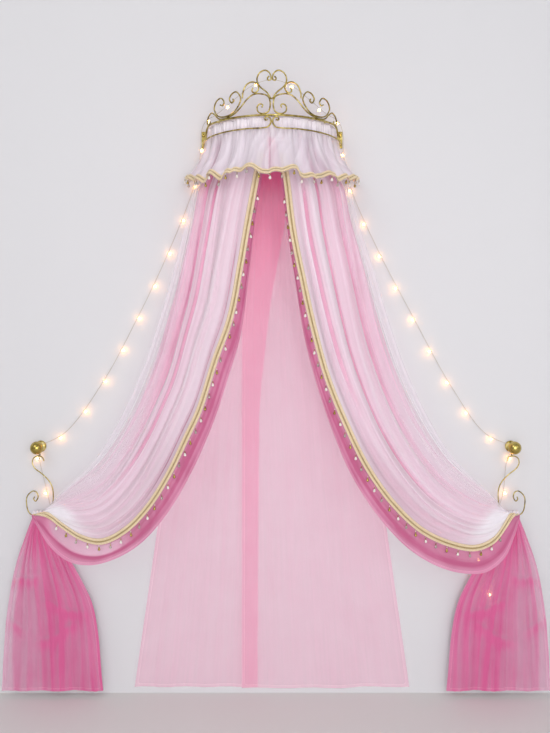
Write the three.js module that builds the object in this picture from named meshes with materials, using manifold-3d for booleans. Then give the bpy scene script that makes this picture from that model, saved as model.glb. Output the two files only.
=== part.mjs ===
// A bed crown canopy: a half-round wrought crown that screws to the wall, a gathered valance,
// two pairs of sheer drapes swagged out to wall hooks, two back panels and a string of globe lights.
// Millimetres, +Z up. The wall is the plane y = 0 and the canopy stands out of it towards -Y.
// The origin is the middle of the crown's rear bar, on the face that lies against the wall.
import * as THREE from "three";
import { mergeVertices } from "three/addons/utils/BufferGeometryUtils.js";
import Module from "manifold-3d";

const wasm = await Module();
wasm.setup();

// Clearances
const touchGap = 0.3; // between pieces that touch
const trimGap = 0.7; // between a braid and the cloth that it is sewn to
const cutOverrun = 1; // how far a cutting shape passes the face that it cuts
const mergeDistance = 1e-3; // corners nearer than this are one

// Crown ironwork
const crownRadius = 300;
const upperRailHeight = 26;
const upperRailRadius = 4;
const lowerRailHeight = -25;
const lowerRailRadius = 3;
const scrollRadius = 3;
const crestRise = 179; // from the upper rail to the top of the heart
const curtainRailRadius = 4;
const curtainRailInset = 24; // from the crown's rails to the rail that carries the cloth
const railEndRun = 9; // the rails run straight out of the wall plates
const spacerRadius = 2.5;
const spacerAngle = 50; // degrees each way from the front

// Wall fixings of the crown
const plateThickness = 4;
const plateWidth = 42;
const plateHeight = 72;
const plateOuterMargin = 8; // outside the lower rail's centre line
const rearBarHeight = 20;
const screwRadius = 2;
const screwHeadRadius = 4;
const screwHeadHeight = 2.5;
const screwHeadTopShare = 0.8; // of the head's radius, at its rim
const screwLength = 30; // behind the plate
const screwInset = 19; // from the lower rail's centre line
const screwLowHeight = -27;
const screwHighHeight = 3;
const thumbHeadRadius = 6;
const thumbHeadLength = 11;
const thumbHeight = 18;

// Cloth
const clothThickness = 2.4; // along the fold, a stand-in for voile that is far thinner
const layerPitch = 8; // from the pink layer to the white one in front of it
const headerHeight = upperRailHeight - curtainRailRadius - touchGap;

// Valance
const valanceHeaderInset = 17.5; // inside the crown's rails
const valanceFlare = 87; // how far the hem stands out beyond the header
const valanceDrop = 256; // of its hem at the middle of the front
const valanceHalfAngle = 84; // degrees
const valanceThickness = 3;
const valanceHeaderFold = 5.2;
const valanceHemFold = 10;
const valancePleats = 12;
const valanceColumnsPerPleat = 4;
const valanceBraidWidth = 21;
const valanceFlarePower = 2.2;
const valancePhaseShare = 0.25; // of a pleat, at the valance's left end
const valanceRowShares = [0, 0.22, 0.56];

// Drapes, from the curtain rail to the hooks
const drapeHeaderInset = 38; // from the crown's rails to the middle of the two layers
const headerRun = 14; // the drapes leave the curtain rail straight down
const drapeInnerAngle = 2.5; // degrees from the front
const pinkInnerAngle = 1.2;
const drapeOuterAngle = 78;
const drapeFrontDepth = 268; // distance from the wall at the inner edge
const drapeFolds = 4;
const drapeColumnsPerFold = 4;
const drapeTopFold = 5.5;
const drapeFullFold = 15;
const drapeHookFold = 2.2;
const braidWidthColumns = 1;
const braidThickness = 3;
const beadRadius = 5;
const beadLength = 15;
const beadThread = 12;
const beadRoot = 1; // how far the thread reaches into the braid
const beadPitch = 52;
const beadWaistShare = 0.65; // of the bead's length, down to its widest place
const beadSides = 4;

// Wall hooks
const leftKnobReach = 1013; // from the middle of the crown to the knob
const rightKnobReach = 1045;
const knobDrop = 1340; // from the origin down to the knob
const knobRadius = 28;
const knobDepth = 60; // from the wall to the middle of the knob
const knobCollarRadius = 10; // of the knob's flat back
const studRadius = 5;
const studInWall = 30;
const studInKnob = 16;
const rosetteRadius = 25;
const rosetteThickness = 7;
// The rosette's face, as shares of its thickness and its radius.
const rosetteShares = [[0, 1], [0.35, 1], [0.7, 0.72], [1, 0.45]];
const hookWireRadius = 2.5;
const hookEyeDepth = 26; // from the wall to the eye on the stud
const hookEyeRadius = 8.5;
const hookLength = 286; // from the stud's axis to the bottom of the cradle's wire
// The shank from the eye to the hook's wire, as shares of the way across, out and down.
const shankShares = [[0, 0, 0], [0.5, 0, 0.7], [1, 0.25, 1], [1, 1, 1]];
const shankThinning = 0.05; // so that the shank ends inside the wire that it is welded to
const cradleInset = 13; // the cradle's middle, nearer the crown than the stud

// Tails, from the hooks down
const bundleHalfWidth = 30;
const pinkBundleMargin = 3; // the pink layer stands out this far beyond the white one in the cradle
const tailHem = 2390; // from the origin down to the tails' hems
const tailDepth = 46; // from the wall
const tailFold = 7;
const tailFolds = 3;
const tailColumnsPerFold = 4;

// Back panels
const panelHem = 2390;
const panelFold = 4;
const panelFolds = 3;
const panelColumnsPerFold = 4;
const panelTopInset = 45; // from the crown's rails to a panel's outer top corner
const panelBottomHalf = 600;
const panelHangHeight = 8; // above the rear bar's middle
const panelRowShares = [0, 0.08, 0.17, 0.29, 0.37, 0.51, 0.75, 1];

// Light string
const wireRadius = 1;
const wireSides = 8;
const bulbRadius = 7.5;
const bulbPitch = 156;
const firstBulb = 130; // along the wire from its foot

// Battery case of the lights
const caseWidth = 54;
const caseHeight = 74;
const caseDepth = 19;
const caseWall = 1.8;
const caseWallGap = 2; // between the case and the wall
const caseTop = 2150; // from the origin down to the case's top
const caseInset = 60; // nearer the crown than the right knob
const lidThickness = 2;
const cellRadius = 7.1;
const cellLength = 49;
const cellNippleRadius = 2.6;
const cellNippleLength = 1.5;
const cellPitch = 16;
const cellCount = 3;
const cellSides = 10;
const switchWidth = 6;
const switchTravel = 3;
const switchDepth = 4;
const switchProud = 3;
const switchFlangeOverhang = 4;
const switchFlangeDepth = 6.4;
const glandRadius = 3.4;
const glandTipRadius = 1.8;
const glandLength = 26;

// Colours, as in daylight
const gold = { color: 0xa8863a, roughness: 0.32, metalness: 1 };
const steel = { color: 0xb9b6ae, roughness: 0.35, metalness: 1 };
const whiteVoile = { color: 0xf4e8f1, roughness: 0.8, metalness: 0 };
const pinkVoile = { color: 0xe58fb8, roughness: 0.8, metalness: 0 };
const palePinkVoile = { color: 0xf0c4cf, roughness: 0.8, metalness: 0 };
const goldBraid = { color: 0xd9b778, roughness: 0.6, metalness: 0.1 };
const lightWire = { color: 0xe9dfd0, roughness: 0.4, metalness: 0 };
const casePlastic = { color: 0xf1efea, roughness: 0.45, metalness: 0 };
const cellSleeve = { color: 0x3d4148, roughness: 0.4, metalness: 0.3 };

// Facets of the round pieces
const rodCorners = 5;
const fixingSides = 8;
const lathedSides = 14;
const knobSteps = 6;
const eyeSteps = 8;

const radians = THREE.MathUtils.degToRad;
const mix = THREE.MathUtils.lerp;

// The value at a place in a table of [place, value] pairs, on straight lines between them.
function tabled(pairs, at) {
  const next = pairs.findIndex(([place], i) => i > 0 && (place >= at || i === pairs.length - 1));
  const [[before, from], [after, to]] = pairs.slice(next - 1, next + 1);
  return mix(from, to, (at - before) / (after - before));
}
const point = (x, y, z) => new THREE.Vector3(x, y, z);

const canopy = new THREE.Group();

function addPart(name, geometry, look) {
  const mesh = new THREE.Mesh(geometry, new THREE.MeshStandardMaterial(look));
  mesh.name = name;
  canopy.add(mesh);
  return mesh;
}

// Only the corners of a geometry, merged, with its faces pointing out.
function closed(geometry) {
  const bare = geometry.clone();
  bare.deleteAttribute("normal");
  bare.deleteAttribute("uv");
  const merged = mergeVertices(bare, mergeDistance);
  const corner = merged.getAttribute("position");
  const index = merged.index.array;
  const [a, b, c] = [point(), point(), point()];
  let volume = 0;
  for (let i = 0; i < index.length; i += 3) {
    a.fromBufferAttribute(corner, index[i]);
    b.fromBufferAttribute(corner, index[i + 1]);
    c.fromBufferAttribute(corner, index[i + 2]);
    volume += a.dot(b.cross(c));
  }
  if (volume < 0) {
    for (let i = 0; i < index.length; i += 3) {
      [index[i + 1], index[i + 2]] = [index[i + 2], index[i + 1]];
    }
  }
  return merged;
}

function toSolid(geometry) {
  const mesh = closed(geometry);
  return new wasm.Manifold(
    new wasm.Mesh({
      numProp: 3,
      vertProperties: mesh.getAttribute("position").array,
      triVerts: new Uint32Array(mesh.index.array),
    }),
  );
}

function fromSolid(solid) {
  const mesh = solid.getMesh();
  const geometry = new THREE.BufferGeometry();
  geometry.setAttribute("position", new THREE.BufferAttribute(mesh.vertProperties, 3));
  geometry.setIndex(new THREE.BufferAttribute(mesh.triVerts, 1));
  return geometry;
}

const joined = (...geometries) => fromSolid(geometries.map(toSolid).reduce((a, b) => a.add(b)));
const cut = (geometry, ...cutters) =>
  fromSolid(cutters.map(toSolid).reduce((a, b) => a.subtract(b), toSolid(geometry)));

// A smooth route through chosen points, stepped evenly from point to point, so that tight curls
// get as many steps as long runs.
class Route extends THREE.CatmullRomCurve3 {
  getPointAt(share, target) {
    return this.getPoint(share, target);
  }
  getTangentAt(share, target) {
    return this.getTangent(share, target);
  }
}

function polygon(radius, corners) {
  const outline = new THREE.Shape();
  for (let i = 0; i < corners; i++) {
    const turn = (2 * Math.PI * i) / corners;
    const [x, y] = [radius * Math.cos(turn), radius * Math.sin(turn)];
    if (i === 0) outline.moveTo(x, y);
    else outline.lineTo(x, y);
  }
  return outline;
}

function rod(points, radius, stepsPerPoint = 2) {
  const route = new Route(points, false, "centripetal");
  const steps = (points.length - 1) * stepsPerPoint;
  return new THREE.ExtrudeGeometry(polygon(radius, rodCorners), { extrudePath: route, steps });
}

// A turned piece whose axis runs out of the wall: profile pairs are distance from the wall and radius.
function turned(profile, facets, x, z) {
  const geometry = new THREE.LatheGeometry(
    profile.map(([depth, radius]) => new THREE.Vector2(radius, depth)),
    facets,
  );
  geometry.rotateX(Math.PI);
  geometry.translate(x, 0, z);
  return geometry;
}

function block(width, depth, height, x, y, z) {
  const geometry = new THREE.BoxGeometry(width, depth, height);
  geometry.translate(x, y, z);
  return geometry;
}

// Crown ironwork. A place on the crown is a length round its front, from the middle, and a height.
const onCrown = (arc, height, radius = crownRadius) =>
  point(radius * Math.sin(arc / crownRadius), -radius * Math.cos(arc / crownRadius), height);

// Each scroll is one bent rod. Its points are shares of the crown's radius round the front and
// of the crest's rise above the upper rail.
const largeScrollShares = [
  [0.13, 0.18], [0.122, 0.222], [0.152, 0.25], [0.192, 0.205], [0.19, 0.09], [0.127, 0.03],
  [0.05, 0.07], [0.02, 0.225], [0.048, 0.41], [0.155, 0.477], [0.25, 0.47], [0.343, 0.37],
  [0.42, 0.235], [0.513, 0.105], [0.65, 0.03], [0.81, 0.05], [0.925, 0.2], [1.003, 0.258],
  [1.1, 0.2], [1.145, 0.09], [1.107, 0.02], [1.037, 0.03], [1.045, 0.075],
];
const cScrollShares = [
  [0.783, 0.363], [0.74, 0.335], [0.71, 0.39], [0.765, 0.51], [0.865, 0.48], [0.925, 0.335],
  [0.845, 0.14], [0.72, 0.067], [0.557, 0.11], [0.462, 0.27], [0.432, 0.415], [0.497, 0.575],
  [0.567, 0.553], [0.613, 0.441], [0.573, 0.346], [0.54, 0.385], [0.553, 0.425],
];
const crestScrollShares = [
  [0.407, 0.425], [0.397, 0.547], [0.35, 0.698], [0.273, 0.754], [0.196, 0.705], [0.178, 0.59],
  [0.222, 0.507], [0.268, 0.545], [0.258, 0.612],
];
const heartShares = [
  [0.011, 0.365], [0.062, 0.497], [0.167, 0.654], [0.2, 0.799], [0.167, 0.939], [0.093, 1],
  [0.036, 0.95], [0.011, 0.855], [0.016, 0.79], [0.045, 0.775], [0.058, 0.822], [0.04, 0.86],
];

// The upper rail comes down at each end on to the lower one.
const railEndShares = [
  [1.215, 0], [1.2, 0.35], [1.155, 0.78], [1.08, 1],
];
const railFall = upperRailHeight - lowerRailHeight;
const upperRailEnd = railEndShares.map(([arc, rise]) => [
  arc * crownRadius,
  lowerRailHeight + rise * railFall,
]);
const upperRailSteps = 9;
const upperRailPoints = [];
upperRailEnd.forEach(([arc, height]) => upperRailPoints.push(onCrown(-arc, height)));
for (let i = 1; i < upperRailSteps; i++) {
  const arc = mix(-1, 1, i / upperRailSteps) * upperRailEnd.at(-1)[0];
  upperRailPoints.push(onCrown(arc, upperRailHeight));
}
upperRailEnd.toReversed().forEach(([arc, height]) => upperRailPoints.push(onCrown(arc, height)));

// Each half of the lower rail runs from the wall to the front, where it turns up in a small curl.
const lowerRailSteps = 6;
const lowerCurlShares = [
  [0.1, 0], [0.047, 0.09], [0.013, 0.4], [0.025, 0.76], [0.062, 0.865], [0.092, 0.76],
  [0.085, 0.6], [0.062, 0.62],
];
function lowerRailPoints(sign) {
  const wallArc = crownRadius * (Math.PI / 2);
  const points = [0, railEndRun].map((run) =>
    point(sign * crownRadius, -plateThickness - touchGap - run, lowerRailHeight),
  );
  for (let i = 1; i < lowerRailSteps; i++) {
    const arc = mix(wallArc, lowerCurlShares[0][0] * crownRadius, i / lowerRailSteps);
    points.push(onCrown(sign * arc, lowerRailHeight));
  }
  lowerCurlShares.forEach(([arc, rise]) =>
    points.push(onCrown(sign * arc * crownRadius, lowerRailHeight + rise * railFall)),
  );
  return points;
}

const curtainRailPath = crownRadius - curtainRailInset;
const curtainRailSteps = 10;
function curtainRailPoints() {
  const ends = [0, railEndRun].map((run) => -plateThickness - touchGap - run);
  const points = ends.map((y) => point(-curtainRailPath, y, upperRailHeight));
  for (let i = 1; i < curtainRailSteps; i++) {
    const turn = mix(-Math.PI / 2, Math.PI / 2, i / curtainRailSteps);
    points.push(
      point(curtainRailPath * Math.sin(turn), -curtainRailPath * Math.cos(turn), upperRailHeight),
    );
  }
  ends.toReversed().forEach((y) => points.push(point(curtainRailPath, y, upperRailHeight)));
  return points;
}

// The welded rods are coped to each other: each is cut where the ones laid before it pass.
function makeCrown() {
  const laid = [];
  const lay = (name, make) => {
    addPart(name, cut(make(0), ...laid), gold);
    laid.push(make(touchGap));
  };
  sides.forEach(({ name, sign }) => {
    const points = lowerRailPoints(sign);
    lay("lower_rail_" + name, (extra) => rod(points, lowerRailRadius + extra));
  });
  lay("upper_rail", (extra) => rod(upperRailPoints, upperRailRadius + extra));
  const upperRail = laid.at(-1);
  const scrolls = [
    ["large_scroll_", largeScrollShares],
    ["heart_", heartShares],
    ["c_scroll_", cScrollShares],
    ["crest_scroll_", crestScrollShares],
  ];
  scrolls.forEach(([kind, shares]) =>
    sides.forEach(({ name, sign }) => {
      const points = shares.map(([arc, rise]) =>
        onCrown(sign * arc * crownRadius, upperRailHeight + rise * crestRise),
      );
      lay(kind + name, (extra) => rod(points, scrollRadius + extra));
    }),
  );
  const curtainRail = (extra) => rod(curtainRailPoints(), curtainRailRadius + extra);
  addPart("curtain_rail", curtainRail(0), gold);
  const spacers = [["centre", 0], ["left", -spacerAngle], ["right", spacerAngle]];
  spacers.forEach(([name, angle]) => {
    const arc = crownRadius * radians(angle);
    const ends = [curtainRailPath, crownRadius].map((radius) => onCrown(arc, upperRailHeight, radius));
    const spacer = cut(rod(ends, spacerRadius, 1), upperRail, curtainRail(touchGap));
    addPart("rail_spacer_" + name, spacer, gold);
  });
}

// Wall fixings
function wallScrew(x, z, headRadius, headHeight) {
  const front = plateThickness + touchGap;
  return turned(
    [
      [-screwLength, 0],
      [-screwLength + screwRadius, screwRadius],
      [front, screwRadius],
      [front, headRadius],
      [front + headHeight, headRadius * screwHeadTopShare],
      [front + headHeight, 0],
    ],
    fixingSides,
    x,
    z,
  );
}

function makeFixings() {
  const plateOuter = crownRadius + plateOuterMargin;
  const plateMiddle = plateOuter - plateWidth / 2;
  const barLength = 2 * (plateOuter - plateWidth - touchGap);
  const bar = block(barLength, plateThickness, rearBarHeight, 0, -plateThickness / 2, 0);
  addPart("rear_bar", bar, gold);
  sides.forEach(({ name, sign }) => {
    const screwX = sign * (crownRadius - screwInset);
    const places = [[screwX, screwLowHeight], [screwX, screwHighHeight]];
    const thumb = [sign * crownRadius, thumbHeight];
    const holes = [...places, thumb].map(([x, z]) =>
      turned(
        [
          [-cutOverrun, 0],
          [-cutOverrun, screwRadius + touchGap],
          [plateThickness + cutOverrun, screwRadius + touchGap],
          [plateThickness + cutOverrun, 0],
        ],
        fixingSides,
        x,
        z,
      ),
    );
    const plate = block(
      plateWidth, plateThickness, plateHeight, sign * plateMiddle, -plateThickness / 2, 0,
    );
    addPart("wall_plate_" + name, cut(plate, ...holes), gold);
    places.forEach(([x, z], i) =>
      addPart(
        `plate_screw_${name}_${i + 1}`,
        wallScrew(x, z, screwHeadRadius, screwHeadHeight),
        steel,
      ),
    );
    addPart("thumb_screw_" + name, wallScrew(...thumb, thumbHeadRadius, thumbHeadLength), gold);
  });
}

// Cloth is a grid of points on a smooth surface, moved to and fro along the surface's normal by
// the folds. Each sheet is closed by a second grid, one thickness behind the first.
function closedSheet(front, back) {
  const [rows, columns] = [front.length, front[0].length];
  const corners = [];
  [front, back].forEach((grid) => grid.forEach((row) => row.forEach((p) => corners.push(p))));
  const at = (layer, row, column) => (layer * rows + row) * columns + column;
  const index = [];
  const quad = (a, b, c, d) => index.push(a, b, c, a, c, d);
  for (let r = 0; r < rows - 1; r++) {
    for (let c = 0; c < columns - 1; c++) {
      quad(at(0, r, c), at(0, r + 1, c), at(0, r + 1, c + 1), at(0, r, c + 1));
      quad(at(1, r, c), at(1, r, c + 1), at(1, r + 1, c + 1), at(1, r + 1, c));
    }
  }
  for (let r = 0; r < rows - 1; r++) {
    const end = columns - 1;
    quad(at(0, r, 0), at(1, r, 0), at(1, r + 1, 0), at(0, r + 1, 0));
    quad(at(0, r, end), at(0, r + 1, end), at(1, r + 1, end), at(1, r, end));
  }
  for (let c = 0; c < columns - 1; c++) {
    const end = rows - 1;
    quad(at(0, 0, c), at(0, 0, c + 1), at(1, 0, c + 1), at(1, 0, c));
    quad(at(0, end, c), at(1, end, c), at(1, end, c + 1), at(0, end, c + 1));
  }
  const geometry = new THREE.BufferGeometry().setFromPoints(corners);
  geometry.setIndex(index);
  return closed(geometry);
}

// The grid of a sheet: place(across, down) gives a point of the smooth surface, and lift(across,
// down) how far the cloth stands off it.
const slopeStep = 1e-3;
function grid(acrossShares, downShares, place, lift) {
  return downShares.map((down) =>
    acrossShares.map((across) => {
      const here = place(across, down);
      const beside = Math.max(across, 0);
      const sideways = place(beside + slopeStep, down).sub(place(beside, down));
      const onward = place(beside, down + slopeStep).sub(place(beside, down - slopeStep));
      const normal = sideways.cross(onward).normalize();
      return here.addScaledVector(normal, lift(across, down));
    }),
  );
}

function sheet(acrossShares, downShares, place, lift, thickness) {
  const layers = [thickness / 2, -thickness / 2].map((offset) =>
    grid(acrossShares, downShares, place, (across, down) => lift(across, down) + offset),
  );
  return closedSheet(...layers);
}

const evenShares = (count, from = 0, to = 1) =>
  Array.from({ length: count + 1 }, (_, i) => mix(from, to, i / count));

// A drop bead on its thread: a spindle whose top is sewn into the braid.
function bead(top) {
  const profile = [
    [beadRoot, 0],
    [-beadThread - beadLength * beadWaistShare, beadRadius],
    [-beadThread - beadLength, 0],
  ];
  const geometry = new THREE.LatheGeometry(
    profile.map(([height, r]) => new THREE.Vector2(r, height)),
    beadSides,
  );
  geometry.rotateX(Math.PI / 2);
  geometry.translate(top.x, top.y, top.z);
  return geometry;
}

// Points along a line of chosen points, one every pitch.
function alongLine(line, pitch) {
  const lengths = line.map((p, i) => (i === 0 ? 0 : p.distanceTo(line[i - 1])));
  const total = lengths.reduce((a, b) => a + b);
  const count = Math.floor(total / pitch);
  const start = (total - count * pitch) / 2;
  const places = [];
  let [done, index] = [0, 1];
  for (let i = 0; i <= count; i++) {
    const wanted = start + i * pitch;
    while (index < line.length - 1 && done + lengths[index] < wanted) {
      done += lengths[index];
      index += 1;
    }
    const share = (wanted - done) / lengths[index];
    places.push(line[index - 1].clone().lerp(line[index], share));
  }
  return places;
}

// The hem's drop as a share of the middle's, by the place along the valance from -1 to 1.
const valanceHemShares = [
  [-1, 0.805], [-0.9, 0.853], [-0.71, 0.914], [-0.595, 0.992], [-0.55, 0.92], [-0.5, 0.914],
  [-0.41, 0.996], [-0.39, 0.973], [-0.335, 0.945], [-0.31, 0.96], [-0.285, 0.887], [-0.22, 0.9],
  [-0.143, 0.879], [-0.088, 0.91], [-0.015, 1], [0.038, 0.93], [0.1, 0.9], [0.17, 0.91],
  [0.195, 0.985], [0.305, 0.992], [0.33, 1.06], [0.37, 1], [0.42, 0.934], [0.47, 0.922],
  [0.49, 0.965], [0.58, 0.957], [0.77, 0.887], [0.905, 0.85], [1, 0.816],
];
function makeValance() {
  const headerRadius = crownRadius - valanceHeaderInset;
  const half = radians(valanceHalfAngle);
  const place = (across, down) => {
    const turn = mix(-half, half, across);
    const drop = valanceDrop * tabled(valanceHemShares, mix(-1, 1, across));
    const radius = headerRadius + valanceFlare * Math.abs(down) ** valanceFlarePower;
    return point(radius * Math.sin(turn), -radius * Math.cos(turn), headerHeight - drop * down);
  };
  const lift = (across, down) =>
    -mix(valanceHeaderFold, valanceHemFold, down) *
    Math.sin(2 * Math.PI * (valancePleats * across + valancePhaseShare));
  const columnShares = evenShares(valancePleats * valanceColumnsPerPleat);
  const braidRows = [1 - valanceBraidWidth / valanceDrop, 1];
  const rows = [...valanceRowShares, ...braidRows];
  addPart("valance", sheet(columnShares, rows, place, lift, valanceThickness), whiteVoile);
  const braidOffset = (valanceThickness + braidThickness) / 2 + trimGap;
  const braidLift = (across, down) => lift(across, down) - braidOffset;
  const strip = sheet(columnShares, braidRows, place, braidLift, braidThickness);
  const hem = grid(columnShares, [1], place, braidLift)[0];
  const beads = alongLine(hem, beadPitch).map((top) => bead(top));
  addPart("valance_braid", joined(strip, ...beads), goldBraid);
}

// Each drape hangs between three edges, from the curtain rail to the hook. Their points are
// shares of the way out from the edge's place on the rail to the knob, and of the cradle's drop.
const leftEdgeShares = {
  pink: [
    [0.033, 0.13], [0.064, 0.25], [0.091, 0.39], [0.123, 0.53], [0.171, 0.63],
    [0.236, 0.75], [0.326, 0.875], [0.432, 0.985], [0.543, 1.062], [0.658, 1.105],
    [0.759, 1.122], [0.849, 1.115], [0.92, 1.085], [0.965, 1.05],
  ],
  braid: [
    [0.037, 0.13], [0.073, 0.248], [0.102, 0.35], [0.145, 0.487], [0.206, 0.592],
    [0.274, 0.721], [0.327, 0.79], [0.403, 0.885], [0.494, 0.972], [0.595, 1.035],
    [0.697, 1.066], [0.788, 1.058], [0.879, 1.028], [0.944, 1.003],
  ],
  outer: [
    [0.003, 0.03], [0.012, 0.06], [0.042, 0.096], [0.09, 0.135], [0.139, 0.221],
    [0.213, 0.353], [0.297, 0.485], [0.394, 0.617], [0.523, 0.749], [0.664, 0.855],
    [0.805, 0.92], [0.886, 0.958], [0.926, 0.984],
  ],
};
const rightEdgeShares = {
  pink: [
    [0.029, 0.13], [0.053, 0.25], [0.087, 0.39], [0.123, 0.53], [0.168, 0.64],
    [0.231, 0.76], [0.311, 0.88], [0.417, 0.985], [0.538, 1.07], [0.658, 1.12],
    [0.769, 1.143], [0.869, 1.143], [0.945, 1.11], [0.985, 1.06],
  ],
  braid: [
    [0.033, 0.137], [0.059, 0.266], [0.098, 0.389], [0.142, 0.514], [0.197, 0.639],
    [0.278, 0.765], [0.359, 0.867], [0.461, 0.958], [0.585, 1.033], [0.712, 1.073],
    [0.818, 1.086], [0.899, 1.068], [0.955, 1.028], [0.985, 1.003],
  ],
  outer: [
    [0.001, 0.03], [0.009, 0.06], [0.038, 0.096], [0.086, 0.135], [0.134, 0.221],
    [0.221, 0.353], [0.304, 0.485], [0.4, 0.617], [0.528, 0.749], [0.667, 0.855],
    [0.807, 0.92], [0.887, 0.958], [0.927, 0.984],
  ],
};
// How far the drape's edges stand from the wall: the outer one at the rail and at the hook,
// and the inner one where it nears the hook.
const outerEdgeDepth = 66.5;
const outerEdgeHookDepth = 80;
const hookFrontDepth = 96;
const bulgeEndShare = 0.6; // of the drape's length, over which it leaves the round of the rail

const sides = [
  { name: "left", sign: -1, reach: leftKnobReach, edges: leftEdgeShares },
  { name: "right", sign: 1, reach: rightKnobReach, edges: rightEdgeShares },
];
const cradleDrop = knobDrop + hookLength;
const cradleReach = (side) => side.reach - cradleInset;
// The middle of the two layers passes over the cradle's wire at this distance from its centre.
const clothOverWire = 0.9; // between the wire and the cloth's nearest fold
const overWire =
  hookWireRadius + clothOverWire + clothThickness / 2 + drapeHookFold + layerPitch / 2;
const overWireShares = [0, 0.17, 0.34]; // of a half turn, up from one side of the wire
const levelRunShares = [0.2, 0.04]; // of overWire, where the cloth lies level on top of the wire

// Points over the cradle's wire, up from its front (-1) or its back (1) to the top.
function overCradle(x, face) {
  const climb = overWireShares.map((share) => [
    overWire * Math.cos(Math.PI * share),
    overWire * Math.sin(Math.PI * share),
  ]);
  const level = levelRunShares.map((share) => [overWire * share, overWire]);
  return [...climb, ...level].map(([depth, rise]) =>
    point(x, -knobDepth + face * depth, -cradleDrop + rise),
  );
}

function drapeSurface(side) {
  const headerRadius = crownRadius - drapeHeaderInset;
  const onHeader = (angle) => onCrown(crownRadius * radians(angle), headerHeight, headerRadius);
  const edge = (shares, angle, nearDepth, farDepth, cradleX) => {
    const points = [onHeader(angle), onHeader(angle)];
    points[1].z -= headerRun;
    shares.forEach(([out, drop]) => {
      const x = mix(points[0].x, side.reach, out);
      points.push(point(x, -mix(nearDepth, farDepth, out), -drop * cradleDrop));
    });
    points.push(...overCradle(cradleX, -1));
    return new THREE.CatmullRomCurve3(points, false, "centripetal");
  };
  const middle = cradleReach(side);
  const pink = edge(
    side.edges.pink, pinkInnerAngle, drapeFrontDepth, hookFrontDepth,
    middle + bundleHalfWidth + pinkBundleMargin,
  );
  const braid = edge(
    side.edges.braid, drapeInnerAngle, drapeFrontDepth, hookFrontDepth, middle + bundleHalfWidth,
  );
  const outer = edge(
    side.edges.outer, drapeOuterAngle, outerEdgeDepth, outerEdgeHookDepth,
    middle - bundleHalfWidth,
  );
  return (across, down) => {
    const at = Math.min(Math.max(down, 0), 1);
    const from = across < 0 ? pink : braid;
    const to = across < 0 ? braid : outer;
    const share = across < 0 ? across + 1 : across;
    const place = from.getPointAt(at).lerp(to.getPointAt(at), share);
    if (across > 0 && at < bulgeEndShare) {
      const round = onHeader(mix(drapeInnerAngle, drapeOuterAngle, across));
      const chord = onHeader(drapeInnerAngle).lerp(onHeader(drapeOuterAngle), across);
      const fade = (1 + Math.cos((Math.PI * at) / bulgeEndShare)) / 2;
      place.addScaledVector(round.sub(chord), fade);
    }
    place.x *= side.sign;
    return place;
  };
}

const drapeRowShares = [
  0, 0.06, 0.13, 0.24, 0.36, 0.48, 0.59, 0.68, 0.76, 0.83, 0.89, 0.935, 0.97, 0.988, 1,
];
const whiteColumnShares = evenShares(drapeFolds * drapeColumnsPerFold);
// The braid and its beads leave out this many rows at the drape's top and at the hook.
const braidRowsLeftOut = [1, 1];
const beadRowsLeftOut = [2, 3];
const pinkEdgeColumns = 2;
const edgeFoldShare = 0.5; // the pink edge beyond the braid curls back this share of a fold
const pinkColumnShares = [
  ...evenShares(pinkEdgeColumns, -1, 0).slice(0, -1),
  ...evenShares(drapeFolds * drapeColumnsPerFold),
];

// Shares of the drape's length over which its folds open below the rail and close at the hook.
const foldOpenShares = [0.1, 0.35];
const foldCloseShares = [0.62, 0.97];

function drapeFold(across, down) {
  const swell = THREE.MathUtils.smoothstep(down, ...foldOpenShares);
  const toHook = THREE.MathUtils.smoothstep(down, ...foldCloseShares);
  const depth = mix(drapeTopFold + (drapeFullFold - drapeTopFold) * swell, drapeHookFold, toHook);
  if (across < 0) return depth * Math.sin(Math.PI * across) * edgeFoldShare;
  return depth * Math.sin(2 * Math.PI * drapeFolds * across);
}

function makeDrapes() {
  sides.forEach((side) => {
    const surface = drapeSurface(side);
    const layer = (offset) => (across, down) =>
      -side.sign * (drapeFold(across, down) + offset);
    const white = sheet(
      whiteColumnShares, drapeRowShares, surface, layer(layerPitch / 2), clothThickness,
    );
    addPart("white_drape_" + side.name, white, whiteVoile);
    const pink = sheet(
      pinkColumnShares, drapeRowShares, surface, layer(-layerPitch / 2), clothThickness,
    );
    addPart("pink_drape_" + side.name, pink, pinkVoile);
    const braidOffset = (layerPitch + clothThickness + braidThickness) / 2 + trimGap;
    const braidShares = whiteColumnShares.slice(0, 1 + braidWidthColumns);
    const [braidRows, beadRows] = [braidRowsLeftOut, beadRowsLeftOut].map(([top, foot]) =>
      drapeRowShares.slice(top, -foot),
    );
    const strip = sheet(braidShares, braidRows, surface, layer(braidOffset), braidThickness);
    const rim = grid([0], beadRows, surface, layer(braidOffset)).map((row) => row[0]);
    const beads = alongLine(rim, beadPitch).map((top) => bead(top));
    addPart("drape_braid_" + side.name, joined(strip, ...beads), goldBraid);
  });
}

// Wall hooks: a knob on a stud, with a wire hook that swings on the stud behind the knob.
// Shares of the hook's length, outwards from the stud's axis and up from it.
const hookWireShares = [
  [-0.108, -0.189], [-0.084, -0.14], [-0.021, -0.12], [0.045, -0.15], [0.066, -0.217],
  [0.052, -0.266], [0.01, -0.322], [-0.056, -0.37], [-0.154, -0.458], [-0.22, -0.552],
  [-0.248, -0.66], [-0.24, -0.85], [-0.215, -0.955], [-0.165, -0.998], [-0.045, -1],
  [0.085, -0.998], [0.13, -0.945], [0.152, -0.84], [0.15, -0.75], [0.115, -0.689], [0.052, -0.647],
  [0, -0.668], [-0.021, -0.738], [0.017, -0.8], [0.045, -0.769], [0.035, -0.738],
];
const hookTopIndex = 2; // the point of the wire that the shank is welded to

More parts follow.
